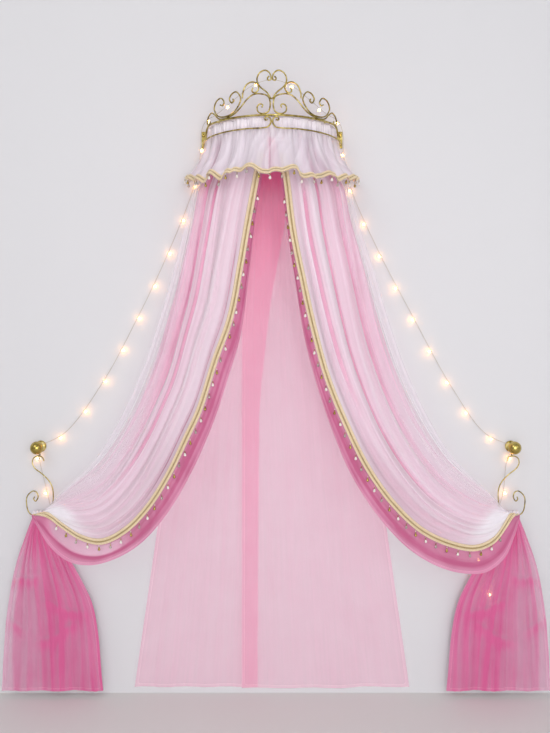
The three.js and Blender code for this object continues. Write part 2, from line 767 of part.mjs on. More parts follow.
function knobProfile() {
  const bore = studRadius + touchGap;
  const first = Math.asin(knobCollarRadius / knobRadius);
  const back = knobDepth - knobRadius * Math.cos(first);
  const boreEnd = back + studInKnob + touchGap;
  const profile = [[boreEnd, 0], [boreEnd, bore], [back, bore]];
  for (let i = 0; i <= knobSteps; i++) {
    const turn = mix(first, Math.PI, i / knobSteps);
    profile.push([
      knobDepth - knobRadius * Math.cos(turn),
      i === knobSteps ? 0 : knobRadius * Math.sin(turn),
    ]);
  }
  return { profile, back };
}

function makeHooks() {
  sides.forEach((side) => {
    const x = side.sign * side.reach;
    const z = -knobDrop;
    const { profile, back } = knobProfile();
    addPart("knob_" + side.name, turned(profile, lathedSides, x, z), gold);
    const stud = [
      [-studInWall, 0],
      [-studInWall + studRadius, studRadius],
      [back + studInKnob, studRadius],
      [back + studInKnob, 0],
    ];
    addPart("stud_" + side.name, turned(stud, fixingSides, x, z), steel);
    const hole = studRadius + touchGap;
    const rosette = [
      [0, hole],
      ...rosetteShares.map(([out, wide]) => [out * rosetteThickness, wide * rosetteRadius]),
      [rosetteThickness, hole],
      [0, hole],
    ];
    addPart("rosette_" + side.name, turned(rosette, lathedSides, x, z), gold);
    addPart("hook_" + side.name, hookGeometry(side, x, z), gold);
  });
}

function hookGeometry(side, x, z) {
  const wire = hookWireShares.map(([out, up]) =>
    point(x + side.sign * out * hookLength, -knobDepth, z + up * hookLength),
  );
  const eye = new THREE.TorusGeometry(hookEyeRadius, hookWireRadius, rodCorners, eyeSteps);
  eye.rotateX(Math.PI / 2);
  eye.translate(x, -hookEyeDepth, z);
  const root = point(x, -hookEyeDepth, z - hookEyeRadius);
  const foot = wire[hookTopIndex];
  const shank = shankShares.map(([over, out, down]) =>
    point(mix(root.x, foot.x, over), mix(root.y, foot.y, out), mix(root.z, foot.z, down)),
  );
  return joined(rod(wire, hookWireRadius), rod(shank, hookWireRadius - shankThinning), eye);
}

// Tails: the same two layers, over the cradle's wire and down behind the hook. Edge points are
// shares of the knob's reach and of the drop from the cradle to the hem.
const tailOuterShares = [[1.05, 0.12], [1.095, 0.3], [1.13, 0.58], [1.152, 1]];
const tailInnerShares = [[0.94, 0.1], [0.86, 0.26], [0.765, 0.52], [0.72, 1]];
const tailRowShares = [0, 0.011, 0.024, 0.12, 0.34, 0.66, 1];

function tailSurface(side) {
  const fall = tailHem - cradleDrop;
  const middle = cradleReach(side);
  const edge = (shares, cradleX) => {
    const points = overCradle(cradleX, 1).toReversed();
    shares.forEach(([out, drop]) =>
      points.push(point(out * side.reach, -tailDepth, -cradleDrop - drop * fall)),
    );
    return new THREE.CatmullRomCurve3(points, false, "centripetal");
  };
  const outer = edge(tailOuterShares, middle + bundleHalfWidth);
  const inner = edge(tailInnerShares, middle - bundleHalfWidth);
  return (across, down) => {
    const at = Math.min(Math.max(down, 0), 1);
    const place = outer.getPointAt(at).lerp(inner.getPointAt(at), across);
    place.x *= side.sign;
    return place;
  };
}

const tailOpenShares = [0.03, 0.4]; // of the tail's length, over which its folds open

function tailFoldAt(across, down) {
  const open = THREE.MathUtils.smoothstep(down, ...tailOpenShares);
  const depth = mix(drapeHookFold, tailFold, open);
  return depth * Math.sin(2 * Math.PI * tailFolds * across);
}

function makeTails() {
  const columns = evenShares(tailFolds * tailColumnsPerFold);
  sides.forEach((side) => {
    const surface = tailSurface(side);
    const layer = (offset) => (across, down) =>
      -side.sign * (tailFoldAt(across, down) + offset);
    const pink = sheet(columns, tailRowShares, surface, layer(-layerPitch / 2), clothThickness);
    addPart("pink_tail_" + side.name, pink, pinkVoile);
    const white = sheet(columns, tailRowShares, surface, layer(layerPitch / 2), clothThickness);
    addPart("white_tail_" + side.name, white, whiteVoile);
  });
}

// Two back panels hang from the rear bar and pass each other in the middle. Each one's inner edge
// is given by shares of its height and of the crown's radius, negative past the middle.
const panelInnerShares = {
  left: [
    [0, -0.3], [0.17, -0.17], [0.29, 0.01], [0.37, 0.087], [0.44, 0.147], [0.51, 0.19], [1, 0.21],
  ],
  right: [[0, -0.3], [0.35, -0.433], [1, -0.44]],
};
const crossingShares = [0.55, 0.75]; // of the right panel's width, over which it nears the wall
function makePanels() {
  const nearWall = plateThickness + touchGap + clothThickness / 2 + panelFold;
  const clearOfOther = 2 * panelFold + clothThickness + 2 * trimGap;
  const columns = evenShares(panelFolds * panelColumnsPerFold);
  sides.forEach((side) => {
    const forward = side.name === "right" ? clearOfOther : 0;
    const place = (across, down) => {
      const inner = crownRadius * tabled(panelInnerShares[side.name], down);
      const outer = mix(crownRadius - panelTopInset, panelBottomHalf, down);
      const crossing = 1 - THREE.MathUtils.smoothstep(across, ...crossingShares);
      return point(
        side.sign * mix(inner, outer, across),
        -nearWall - forward * crossing,
        panelHangHeight - down * (panelHem + panelHangHeight),
      );
    };
    const lift = (across) => panelFold * Math.sin(2 * Math.PI * panelFolds * across);
    const panel = sheet(columns, panelRowShares, place, lift, clothThickness);
    addPart("back_panel_" + side.name, panel, palePinkVoile);
  });
}

// Light string: one wire from behind the left tail over both studs and the crown to its case.
const lightDepth = 16; // from the wall to the wire, below the crown
const lightStudClearance = 0.9; // between the wire and the stud that it passes over
const lightOverStud = studRadius + wireRadius + lightStudClearance;
const backOfScrolls = crownRadius - scrollRadius - wireRadius - 2 * touchGap;
// The wire's points, up from its foot, as shares: below a stud of the knob's reach and drop, over
// the stud of its clearance, from there of the way to the crown, the wire's depth and the knob's
// drop, beside the wall plates of the crown's radius, and round the crown of its radius and crest.
const lightFootShares = {
  left: [[0.938, 1.245], [0.972, 1.135], [1.002, 1.039]],
  right: [[0.871, 1.343], [0.96, 1.164], [0.98, 1.045]],
};
const lightStudShares = [[1, -0.435], [0.71, 0.696], [0, 1]];
const lightRunShares = {
  left: [
    [0.849, 1, 0.956], [0.617, 1, 0.793], [0.407, 1, 0.586], [0.217, 1.06, 0.373],
    [0.056, 1.25, 0.153],
  ],
  right: [
    [0.846, 1, 0.957], [0.644, 1, 0.802], [0.416, 1, 0.571], [0.215, 1.06, 0.358],
    [0.054, 1.25, 0.153],
  ],
};
const lightPlateShares = [[1.037, 0.08, -0.2], [1.023, 0.133, 0.047], [0.987, 0.22, 0.147]];
const lightCrownShares = [[1.133, 0.173], [0.85, 0.201], [0.55, 0.413], [0.267, 0.682]];
const lightTopShare = 0.793;

// Above the battery case the wire comes straight out of the gland and bends towards the tail.
const caseReach = rightKnobReach - caseInset;
const leadDepth = 12;
const leadExit = -caseTop + glandLength + touchGap;
const leadStraight = 18.7;
const leadBend = [13, 14, 93.7]; // inwards from the case's middle, from the wall, up from the gland

function lightHalf({ name, sign, reach }) {
  const place = (x, depth, height) => point(sign * x, -depth, height);
  const roundCrown = ([arc, rise]) =>
    onCrown(sign * arc * crownRadius, upperRailHeight + rise * crestRise, backOfScrolls);
  return [
    ...lightFootShares[name].map(([out, drop]) => place(out * reach, lightDepth, -drop * knobDrop)),
    ...lightStudShares.map(([out, up]) =>
      place(reach + out * lightOverStud, lightDepth, -knobDrop + up * lightOverStud),
    ),
    ...lightRunShares[name].map(([out, depth, drop]) =>
      place(mix(crownRadius, reach, out), depth * lightDepth, -drop * knobDrop),
    ),
    ...lightPlateShares.map((shares) => place(...shares.map((share) => share * crownRadius))),
    ...lightCrownShares.map(roundCrown),
  ];
}

const [leftHalf, rightHalf] = sides.map(lightHalf);
const lightRoute = [
  ...leftHalf,
  onCrown(0, upperRailHeight + lightTopShare * crestRise, backOfScrolls),
  ...rightHalf.toReversed(),
  point(caseReach - leadBend[0], -leadBend[1], leadExit + leadBend[2]),
  point(caseReach, -leadDepth, leadExit + leadStraight),
  point(caseReach, -leadDepth, leadExit),
];
// Where the three stretches of the wire meet, as places in the list above.
const firstOfCrown = leftHalf.length - lightCrownShares.length - 1;
const lightJoints = [
  0, firstOfCrown, 2 * leftHalf.length - firstOfCrown, lightRoute.length - 1,
];
const lightStepsPerPoint = 2;
const bulbSeatShare = 0.3; // of the wire's radius, from its axis to the bulb's top
const bulbClearOfStud = 45;

// Part of a route, from one place in its list of points to another.
class Stretch extends THREE.Curve {
  constructor(route, from, to) {
    super();
    Object.assign(this, { route, from, to });
  }
  getPoint(share, target) {
    return this.route.getPoint(mix(this.from, this.to, share), target);
  }
  getPointAt(share, target) {
    return this.getPoint(share, target);
  }
  getTangentAt(share, target) {
    return this.route.getTangent(mix(this.from, this.to, share), target);
  }
}

// A globe hangs square to the wire's run: inwards on the crown, elsewhere downwards.
function bulb(place, run, onTheCrown) {
  const hang = onTheCrown ? point(-place.x, -place.y, 0) : point(0, 0, -1);
  hang.projectOnPlane(run).normalize();
  const globe = new THREE.OctahedronGeometry(bulbRadius);
  globe.applyQuaternion(new THREE.Quaternion().setFromUnitVectors(point(0, 1, 0), hang));
  hang.setLength(bulbRadius + bulbSeatShare * wireRadius);
  globe.translate(place.x + hang.x, place.y + hang.y, place.z + hang.z);
  return globe;
}

function makeLights() {
  const route = new Route(lightRoute, false, "centripetal");
  const last = lightRoute.length - 1;
  const studs = sides.map((side) => point(side.sign * side.reach, lightRoute[0].y, -knobDrop));
  let [done, wanted] = [0, firstBulb];
  ["left", "crown", "right"].forEach((name, i) => {
    const [from, to] = [lightJoints[i], lightJoints[i + 1]];
    // Half of the gap between two stretches, as a share of the list.
    const trim = (at) => {
      const [before, after] = [at - 1, at + 1].map((place) => route.getPoint(place / last));
      return touchGap / before.distanceTo(after);
    };
    const start = i === 0 ? from : from + trim(from);
    const end = i === 2 ? to : to - trim(to);
    const stretch = new Stretch(route, start / last, end / last);
    const steps = (to - from) * lightStepsPerPoint;
    const wire = new THREE.ExtrudeGeometry(polygon(wireRadius, wireSides), {
      extrudePath: stretch,
      steps,
    });
    const line = stretch.getPoints(steps);
    const globes = [];
    line.slice(1).forEach((next, k) => {
      const here = line[k];
      const run = next.clone().sub(here);
      const length = run.length();
      run.normalize();
      while (wanted < done + length) {
        const place = here.clone().addScaledVector(run, wanted - done);
        if (studs.every((stud) => stud.distanceTo(place) > bulbClearOfStud)) {
          globes.push(bulb(place, run, name === "crown"));
        }
        wanted += bulbPitch;
      }
      done += length;
    });
    addPart("light_string_" + name, joined(wire, ...globes), lightWire);
  });
}

// Battery case: a tray against the wall, three cells, a lid that slides up and a slide switch.
function makeCase() {
  const trayDepth = caseDepth - lidThickness - touchGap;
  const top = -caseTop;
  const bottom = top - caseHeight;
  const backY = -caseWallGap;
  const middleZ = (top + bottom) / 2;
  const body = block(caseWidth, trayDepth, caseHeight, caseReach, backY - trayDepth / 2, middleZ);
  const roomWidth = caseWidth - 2 * caseWall;
  const cellRoom = cellLength + cellNippleLength + 2 * touchGap;
  const roomY = backY - caseWall;
  const roomDepth = trayDepth - caseWall + cutOverrun;
  const cellRoomTop = top - caseWall;
  const switchRoomTop = cellRoomTop - cellRoom - caseWall;
  const switchRoomBottom = bottom + caseWall;
  const pocket = (high, low) =>
    block(roomWidth, roomDepth, high - low, caseReach, roomY - roomDepth / 2, (high + low) / 2);
  const slotWidth = switchWidth + switchTravel + 2 * touchGap;
  const switchY = roomY - (trayDepth - caseWall) / 2;
  const slot = block(
    slotWidth, switchDepth + 2 * touchGap, caseWall + 2 * cutOverrun,
    caseReach + switchTravel / 2, switchY, bottom + caseWall / 2,
  );
  const tray = cut(
    body, pocket(cellRoomTop, cellRoomTop - cellRoom), pocket(switchRoomTop, switchRoomBottom), slot,
  );
  addPart("battery_tray", tray, casePlastic);

  const lid = block(
    caseWidth, lidThickness, caseHeight, caseReach, backY - trayDepth - touchGap - lidThickness / 2,
    middleZ,
  );
  addPart("battery_lid", lid, casePlastic);

  for (let i = 0; i < cellCount; i++) {
    const x = caseReach + (i - (cellCount - 1) / 2) * cellPitch;
    const foot = cellRoomTop - cellRoom + touchGap;
    const profile = [
      [0, 0],
      [cellRadius, 0],
      [cellRadius, cellLength],
      [cellNippleRadius, cellLength],
      [cellNippleRadius, cellLength + cellNippleLength],
      [0, cellLength + cellNippleLength],
    ];
    const cell = new THREE.LatheGeometry(
      profile.map(([radius, height]) => new THREE.Vector2(radius, height)),
      cellSides,
    );
    cell.rotateX(Math.PI / 2);
    if (i % 2 === 1) {
      cell.rotateX(Math.PI);
      cell.translate(0, 0, cellLength + cellNippleLength);
    }
    cell.translate(x, roomY - touchGap - cellRadius, foot);
    addPart(`cell_${i + 1}`, cell, cellSleeve);
  }

  const stem = block(
    switchWidth, switchDepth, caseWall + switchProud + touchGap + cutOverrun, caseReach, switchY,
    bottom + (caseWall - switchProud + touchGap + cutOverrun) / 2,
  );
  const flange = block(
    switchWidth + 2 * switchFlangeOverhang, switchFlangeDepth, caseWall, caseReach, switchY,
    bottom + caseWall + touchGap + caseWall / 2,
  );
  addPart("case_switch", joined(stem, flange), casePlastic);

  const gland = new THREE.LatheGeometry(
    [
      new THREE.Vector2(0, 0),
      new THREE.Vector2(glandRadius, 0),
      new THREE.Vector2(glandTipRadius, glandLength - touchGap),
      new THREE.Vector2(0, glandLength - touchGap),
    ],
    fixingSides,
  );
  gland.rotateX(Math.PI / 2);
  gland.translate(caseReach, -leadDepth, top + touchGap);
  addPart("lead_gland", gland, casePlastic);
}

makeCrown();
makeFixings();
makeValance();
makeDrapes();
makeHooks();
makeTails();
makePanels();
makeLights();
makeCase();

export default canopy;
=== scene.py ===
import math

import bmesh
import bpy
import numpy as np
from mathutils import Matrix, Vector


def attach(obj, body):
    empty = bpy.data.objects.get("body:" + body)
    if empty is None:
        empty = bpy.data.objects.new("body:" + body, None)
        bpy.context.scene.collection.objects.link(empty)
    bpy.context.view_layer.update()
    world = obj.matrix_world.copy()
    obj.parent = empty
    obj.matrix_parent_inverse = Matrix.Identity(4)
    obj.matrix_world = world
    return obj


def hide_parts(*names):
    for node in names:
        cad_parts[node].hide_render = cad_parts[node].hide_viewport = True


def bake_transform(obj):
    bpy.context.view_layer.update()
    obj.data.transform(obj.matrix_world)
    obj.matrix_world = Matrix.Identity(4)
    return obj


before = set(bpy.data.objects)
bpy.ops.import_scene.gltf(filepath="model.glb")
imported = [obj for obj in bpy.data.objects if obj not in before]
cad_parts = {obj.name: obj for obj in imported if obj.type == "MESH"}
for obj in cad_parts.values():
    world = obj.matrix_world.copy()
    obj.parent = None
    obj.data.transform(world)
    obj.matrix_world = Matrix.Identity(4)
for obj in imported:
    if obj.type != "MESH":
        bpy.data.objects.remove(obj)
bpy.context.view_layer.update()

MM = 0.001

# ---- The canopy's own sizes, in millimetres, as its solids have them ----
CROWN_R = 300.0
UPPER_Z, LOWER_Z = 26.0, -25.0
UPPER_R, LOWER_R, SCROLL_R = 4.0, 3.0, 3.0
CREST = 179.0
CURTAIN_R, CURTAIN_PATH = 4.0, 276.0
SPACER_R = 2.5
PLATE_T = 4.0
PLATE_INSET, PLATE_SCREWS_Z = 19.0, (-27, 3)
THUMB_Z = 18.0
GAP = 0.3
HEADER_Z = UPPER_Z - CURTAIN_R - GAP
KNOB_DROP, KNOB_R, KNOB_DEPTH, KNOB_COLLAR = 1340.0, 28.0, 60.0, 10.0
STUD_R = 5.0
HOOK_LEN, HOOK_WIRE = 286.0, 2.5
EYE_R, EYE_DEPTH = 8.5, 26.0
CRADLE_DROP = KNOB_DROP + HOOK_LEN
CRADLE_INSET = 13.0
HEM = 2390.0
LIGHT_DEPTH, LIGHT_OVER_STUD = 16.0, 6.9
SIDES = {"left": (-1, 1013.0), "right": (1, 1045.0)}
# Half the distance between the middles of two layers of a drape or tail.
LAYER = 4.0


# ---- Arithmetic ----
def mix(a, b, t):
    return a + (b - a) * t


def smoothstep(x, low, high):
    t = np.clip((np.asarray(x, float) - low) / (high - low), 0, 1)
    return t * t * (3 - 2 * t)


def fade(x, low, high):
    return 1 - smoothstep(x, low, high)


def bell(x, width):
    return np.exp(-((x / width) ** 2))


def wave(turns, phase=0.0):
    return np.sin(2 * np.pi * turns + phase)


def ring_turns(count):
    return np.linspace(0, 2 * np.pi, count, endpoint=False)


def runs(*stretches):
    """Even steps from each (start, end, count) to the next."""
    return np.concatenate([np.linspace(*stretch)[min(i, 1):] for i, stretch in enumerate(stretches)])


def run_of(path):
    """How far along a path each of its points is."""
    return np.concatenate([[0], np.cumsum(np.linalg.norm(np.diff(path, axis=0), axis=1))])


def at_run(wanted, run, points):
    """The path's points at the wanted distances."""
    return np.stack([np.interp(wanted, run, points[:, k]) for k in range(3)], axis=1)


def spline(points, shares):
    """Centripetal Catmull-Rom curve through points, at shares of its list of points."""
    p = np.asarray(points, float)
    n = len(p)
    p = np.vstack([2 * p[0] - p[1], p, 2 * p[-1] - p[-2]])
    t = np.clip(np.asarray(shares, float), 0, 1) * (n - 1)
    i = np.minimum(t.astype(int), n - 2)
    w = (t - i)[:, None]
    a, b, c, d = p[i], p[i + 1], p[i + 2], p[i + 3]
    ab, bc, cd = (
        np.sqrt(np.linalg.norm(y - x, axis=1))[:, None] for x, y in ((a, b), (b, c), (c, d))
    )
    m1 = ((b - a) / ab - (c - a) / (ab + bc) + (c - b) / bc) * bc
    m2 = ((c - b) / bc - (d - b) / (bc + cd) + (d - c) / cd) * bc
    return (
        (2 * w**3 - 3 * w**2 + 1) * b
        + (w**3 - 2 * w**2 + w) * m1
        + (3 * w**2 - 2 * w**3) * c
        + (w**3 - w**2) * m2
    )


def stepped(points, per_point):
    return spline(points, np.linspace(0, 1, (len(points) - 1) * per_point + 1))


def along(points, shares):
    """The same curve at shares of its length."""
    t = np.linspace(0, 1, 600)
    run = run_of(spline(points, t))
    return spline(points, np.interp(shares, run / run[-1], t))


def respaced(line, step):
    run = run_of(line)
    at = np.linspace(0, run[-1], max(2, int(round(run[-1] / step)) + 1))
    return at_run(at, run, line), at


def on_crown(arc, z, radius=CROWN_R):
    return [radius * math.sin(arc / CROWN_R), -radius * math.cos(arc / CROWN_R), z]


# ---- Camera, at the photograph's angle ----
PHOTO_HEIGHT, FOCAL_PIXELS, SHIFT_PIXELS = 733, 799, -23.5
CAMERA_PLACE = (0.013, -3.5, -0.888)


def add_object(name, data):
    obj = bpy.data.objects.new(name, data)
    bpy.context.scene.collection.objects.link(obj)
    return obj


def make_camera():
    data = bpy.data.cameras.new("camera")
    data.sensor_fit = "VERTICAL"
    data.sensor_height = 36.0
    data.lens = data.sensor_height / PHOTO_HEIGHT * FOCAL_PIXELS
    data.shift_y = SHIFT_PIXELS / PHOTO_HEIGHT
    data.clip_end = 60
    camera = add_object("camera", data)
    camera.location = CAMERA_PLACE
    camera.rotation_euler = (math.pi / 2, 0, 0)
    bpy.context.scene.camera = camera


make_camera()


# ---- Materials ----
def feed(tree, n, inputs):
    """Links a node's inputs to other nodes' outputs, and sets those that are constants."""
    for key, value in inputs.items():
        if isinstance(value, bpy.types.NodeSocket):
            tree.links.new(value, n.inputs[key])
        else:
            n.inputs[key].default_value = value
    return n


def node(tree, kind, inputs=None, **settings):
    n = tree.nodes.new(kind)
    for key, value in settings.items():
        setattr(n, key, value)
    return feed(tree, n, inputs or {})


def math_node(tree, operation, *inputs, clamp=False):
    n = node(tree, "ShaderNodeMath", dict(enumerate(inputs)), operation=operation, use_clamp=clamp)
    return n.outputs[0]


def mul_add(tree, value, factor, more, clamp=False):
    return math_node(tree, "MULTIPLY_ADD", value, factor, more, clamp=clamp)


def ramp(tree, factor, stops):
    n = node(tree, "ShaderNodeValToRGB", {0: factor})
    while len(n.color_ramp.elements) < len(stops):
        n.color_ramp.elements.new(0.5)
    for element, (at, colour) in zip(n.color_ramp.elements, stops):
        element.position = at
        element.color = (*colour, 1)
    return n.outputs[0]


def noise(tree, scale, detail, vector):
    inputs = {"Scale": scale, "Detail": detail, "Roughness": 0.5, "Vector": vector}
    return node(tree, "ShaderNodeTexNoise", inputs).outputs[0]


def attribute(tree, name):
    return node(tree, "ShaderNodeAttribute", attribute_name=name).outputs["Fac"]


def bump(tree, bsdf, height, strength, distance_mm):
    inputs = {"Height": height, "Strength": strength, "Distance": distance_mm * MM}
    feed(tree, bsdf, {"Normal": node(tree, "ShaderNodeBump", inputs).outputs[0]})


def new_material(name):
    m = bpy.data.materials.new(name)
    m.use_nodes = True
    return m, m.node_tree, m.node_tree.nodes["Principled BSDF"]


def shades(colour, share):
    return tuple(min(1.0, c * share) for c in colour)


def mottled(name, scale, detail, stops, rough, vary, **inputs):
    """A material whose colour and roughness vary with one soft noise."""
    m, t, b = new_material(name)
    place = node(t, "ShaderNodeTexCoord").outputs["Object"]
    cloud = noise(t, scale, detail, place)
    feed(t, b, {"Base Color": ramp(t, cloud, stops), "Roughness": mul_add(t, cloud, vary, rough)})
    feed(t, b, {key.replace("_", " "): value for key, value in inputs.items()})
    return m, t, b, place, cloud


def metal(name, dark, mid, light, rough, grain=60.0, wear=0.06, bump_mm=0.12):
    stops = [(0.3, dark), (0.5, mid), (0.72, light)]
    m, t, b, place, cloud = mottled(name, grain, 4.0, stops, rough - wear, wear * 3, Metallic=1.0)
    fine = noise(t, grain * 9, 2.0, place)
    bump(t, b, mul_add(t, cloud, 0.6, fine), 0.35, bump_mm)
    return m


def plastic(name, colour, rough):
    stops = [(0.35, shades(colour, 0.93)), (0.65, colour)]
    m, t, b, place, _ = mottled(name, 30.0, 3.0, stops, rough - 0.06, 0.12)
    bump(t, b, noise(t, 2200.0, 2.0, place), 0.25, 0.05)
    return m


def glass(name, colour, transmission):
    stops = [(0.35, shades(colour, 0.8)), (0.65, colour)]
    m, t, b, _, cloud = mottled(
        name, 90.0, 2.0, stops, 0.05, 0.05, Transmission_Weight=transmission, IOR=1.5
    )
    bump(t, b, cloud, 0.2, 0.1)
    return m


def pearl(name, dark, light):
    m, t, b, _, cloud = mottled(
        name, 160.0, 3.0, [(0.3, dark), (0.65, light)], 0.18, 0.08,
        Coat_Weight=0.8, Coat_Roughness=0.1, Sheen_Weight=0.3,
    )
    bump(t, b, cloud, 0.15, 0.05)
    return m


def glow(name, colour, light, strength, alpha=1.0):
    stops = [(0.3, shades(colour, 0.94)), (0.7, colour)]
    return mottled(
        name, 400.0, 2.0, stops, 0.2, 0.1,
        Emission_Color=(*light, 1), Emission_Strength=strength, Alpha=alpha,
    )[0]


# In metres: the hem's width, its seam's distance from the edge and half width, and the stitches' pitch.
HEM_W, SEAM_AT, SEAM_W, STITCH = 0.0135, 0.0122, 0.0007, 0.0034
VOILE_PITCH = 1.1 * MM


def voile(name, light, deep, blotch=0.6, deep_from=0.3):
    """Sheer cloth. Its vertex value "cover" is the share of what lies behind it that it hides, and
    from deep_from on it goes to its deep colour, which in places is painted shade; "edge" is the
    distance to the next hem in metres."""
    m, t, b = new_material(name)
    uv = node(t, "ShaderNodeUVMap", uv_map="cloth").outputs[0]
    cover, edge = attribute(t, "cover"), attribute(t, "edge")
    across, down = node(t, "ShaderNodeSeparateXYZ", {0: uv}).outputs[:2]
    warp, weft = (
        math_node(t, "SINE", math_node(t, "MULTIPLY", way, 2 * math.pi / VOILE_PITCH))
        for way in (across, down)
    )
    weave = math_node(t, "MAXIMUM", warp, weft)
    streak = noise(t, 1.0, 2.0, node(t, "ShaderNodeMapping", {0: uv, 3: (110, 2.4, 1)}).outputs[0])
    cloud = noise(t, 6.0, 3.0, uv)
    hem = math_node(t, "LESS_THAN", edge, HEM_W)
    seam = math_node(t, "COMPARE", edge, SEAM_AT, SEAM_W)
    slant = math_node(t, "MULTIPLY", math_node(t, "ADD", across, down), 2 * math.pi / STITCH)
    dash = math_node(t, "GREATER_THAN", math_node(t, "SINE", slant), -0.45)
    stitch = math_node(t, "MULTIPLY", seam, dash)
    tone = mul_add(t, streak, 0.4, math_node(t, "MULTIPLY", cloud, 0.6))
    tone = mul_add(t, math_node(t, "SUBTRACT", tone, 0.5), blotch, cover)
    colours = {
        "Factor": math_node(t, "MULTIPLY", stitch, 0.5),
        "A": ramp(t, tone, [(deep_from, light), (1.0, deep)]),
        "B": (*shades(light, 1.1), 1),
    }
    alpha = mul_add(t, weave, 0.03, cover)
    alpha = mul_add(t, math_node(t, "SUBTRACT", streak, 0.5), 0.07, alpha)
    alpha = mul_add(t, hem, 0.06, alpha)
    feed(t, b, {
        "Base Color": node(t, "ShaderNodeMix", colours, data_type="RGBA").outputs["Result"],
        "Alpha": mul_add(t, stitch, 0.1, alpha, clamp=True),
        "Roughness": 0.82, "Specular IOR Level": 0.2, "Sheen Weight": 0.3, "Sheen Roughness": 0.4,
    })
    bump(t, b, mul_add(t, stitch, 1.2, mul_add(t, hem, 0.8, weave)), 0.3, 0.2)
    return m


def thread(name, dark, light, rough=0.55, metallic=0.0, pitch=2.2):
    """Twisted cord or gimp: two fine plies that run diagonally along it, pitch millimetres a turn."""
    m, t, b = new_material(name)
    uv = node(t, "ShaderNodeUVMap", uv_map="cloth").outputs[0]
    around, down = node(t, "ShaderNodeSeparateXYZ", {0: uv}).outputs[:2]
    turn = math_node(t, "MULTIPLY", around, 2 * math.pi * 2)
    run = math_node(t, "MULTIPLY", down, 2 * math.pi / (pitch * MM))
    ply = math_node(t, "SINE", math_node(t, "ADD", turn, run))
    cloud = noise(t, 140.0, 3.0, node(t, "ShaderNodeTexCoord").outputs["Object"])
    tone = mul_add(t, ply, 0.25, mul_add(t, cloud, 0.6, 0.2))
    feed(t, b, {
        "Base Color": ramp(t, tone, [(0.2, dark), (0.75, light)]),
        "Roughness": rough, "Sheen Weight": 0.4, "Metallic": metallic,
    })
    bump(t, b, ply, 0.5, 0.4)
    return m


GOLD = metal("antique_gold", (0.18, 0.125, 0.03), (0.45, 0.35, 0.105), (0.78, 0.67, 0.3), 0.27)
BRASS = metal(
    "polished_brass", (0.3, 0.22, 0.05), (0.5, 0.385, 0.105), (0.7, 0.57, 0.2), 0.2,
    grain=26.0, wear=0.04, bump_mm=0.05,
)
STEEL = metal("zinc_steel", (0.4, 0.4, 0.39), (0.62, 0.61, 0.6), (0.78, 0.78, 0.76), 0.3, grain=120.0)
WHITE = voile("white_voile", (0.81, 0.745, 0.82), (0.875, 0.825, 0.89))
VALANCE = voile("valance_voile", (0.87, 0.75, 0.86), (0.91, 0.84, 0.91))
# The pink cloths' deep colours are also painted shade where their cover is raised for it: along the
# drape's strip fold, below the tails' creases and at the back panels' tops.
PINK = voile("pink_voile", (0.92, 0.45, 0.65), (0.56, 0.13, 0.27), deep_from=0.6)
TAIL_PINK = voile("tail_pink_voile", (0.88, 0.4, 0.61), (0.7, 0.13, 0.32))
PALE = voile("pale_pink_voile", (0.92, 0.58, 0.71), (0.84, 0.19, 0.39), blotch=0.3)
CREAM_CORD = thread("cream_cord", (0.82, 0.61, 0.36), (0.97, 0.83, 0.6))
GOLD_CHAIN = thread(
    "gold_chain", (0.36, 0.25, 0.09), (0.72, 0.56, 0.28), rough=0.36, metallic=0.35, pitch=1.6
)
RIBBON = thread("braid_ribbon", (0.6, 0.42, 0.2), (0.84, 0.65, 0.37), pitch=3.0)
PEARL = pearl("pearl", (0.78, 0.72, 0.66), (0.93, 0.9, 0.86))
CLEAR = glass("clear_glass", (0.74, 0.68, 0.62), 0.55)
WIRE = plastic("clear_wire", (0.52, 0.46, 0.38), 0.3)
CASE = plastic("white_plastic", (0.8, 0.79, 0.77), 0.42)
SLEEVE = plastic("cell_sleeve", (0.06, 0.07, 0.09), 0.3)
LED = glow("led_core", (1.0, 0.9, 0.7), (1.0, 0.43, 0.09), 130.0)
GLOBE = glow("lit_globe", (0.98, 0.88, 0.72), (1.0, 0.7, 0.36), 1.7, alpha=0.5)


# ---- Mesh making. A shape is corners in millimetres, faces and a texture place for each corner ----
def piece(name, shape, material, body="frame", cad=(), values=None):
    verts, faces, uv = shape
    mesh = bpy.data.meshes.new(name)
    mesh.from_pydata((np.asarray(verts, float) * MM).tolist(), [], faces)
    layer = mesh.uv_layers.new(name="cloth")
    corner = np.zeros(len(mesh.loops), np.int32)
    mesh.loops.foreach_get("vertex_index", corner)
    layer.data.foreach_set("uv", np.asarray(uv, np.float32)[corner].ravel())
    for key, array in (values or {}).items():
        data = mesh.attributes.new(key, "FLOAT", "POINT").data
        data.foreach_set("value", np.asarray(array, np.float32).ravel())
    mesh.materials.append(material)
    mesh.shade_smooth()
    obj = add_object(name, mesh)
    if body is not None:
        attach(obj, body)
    if cad:
        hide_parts(*cad)
    return obj


def clean(obj, sharp):
    """Merges the corners that a pole leaves, and makes edges over some degrees sharp."""
    bm = bmesh.new()
    bm.from_mesh(obj.data)
    bmesh.ops.remove_doubles(bm, verts=bm.verts, dist=1e-6)
    bmesh.ops.recalc_face_normals(bm, faces=bm.faces)
    bm.to_mesh(obj.data)
    bm.free()
    obj.data.set_sharp_from_angle(angle=math.radians(sharp))
    return obj


def solid(name, shape, material, sharp, body="frame", cad=()):
    return clean(piece(name, shape, material, body, cad), sharp)


def joined(parts):
    """Several shapes as one."""
    verts, faces, uvs, base = [], [], [], 0
    for v, f, uv in parts:
        verts.append(v)
        uvs.append(uv)
        faces.extend([tuple(i + base for i in face) for face in f])
        base += len(v)
    return np.vstack(verts), faces, np.vstack(uvs)


def ring_faces(rings, sides, outside_in=False):
    """Quads between rings of corners."""
    faces = []
    for a in range(0, (rings - 1) * sides, sides):
        for k in range(sides):
            j = (k + 1) % sides
            quad = (a + k, a + j, a + sides + j, a + sides + k)
            faces.append(quad[:1] + quad[:0:-1] if outside_in else quad)
    return faces


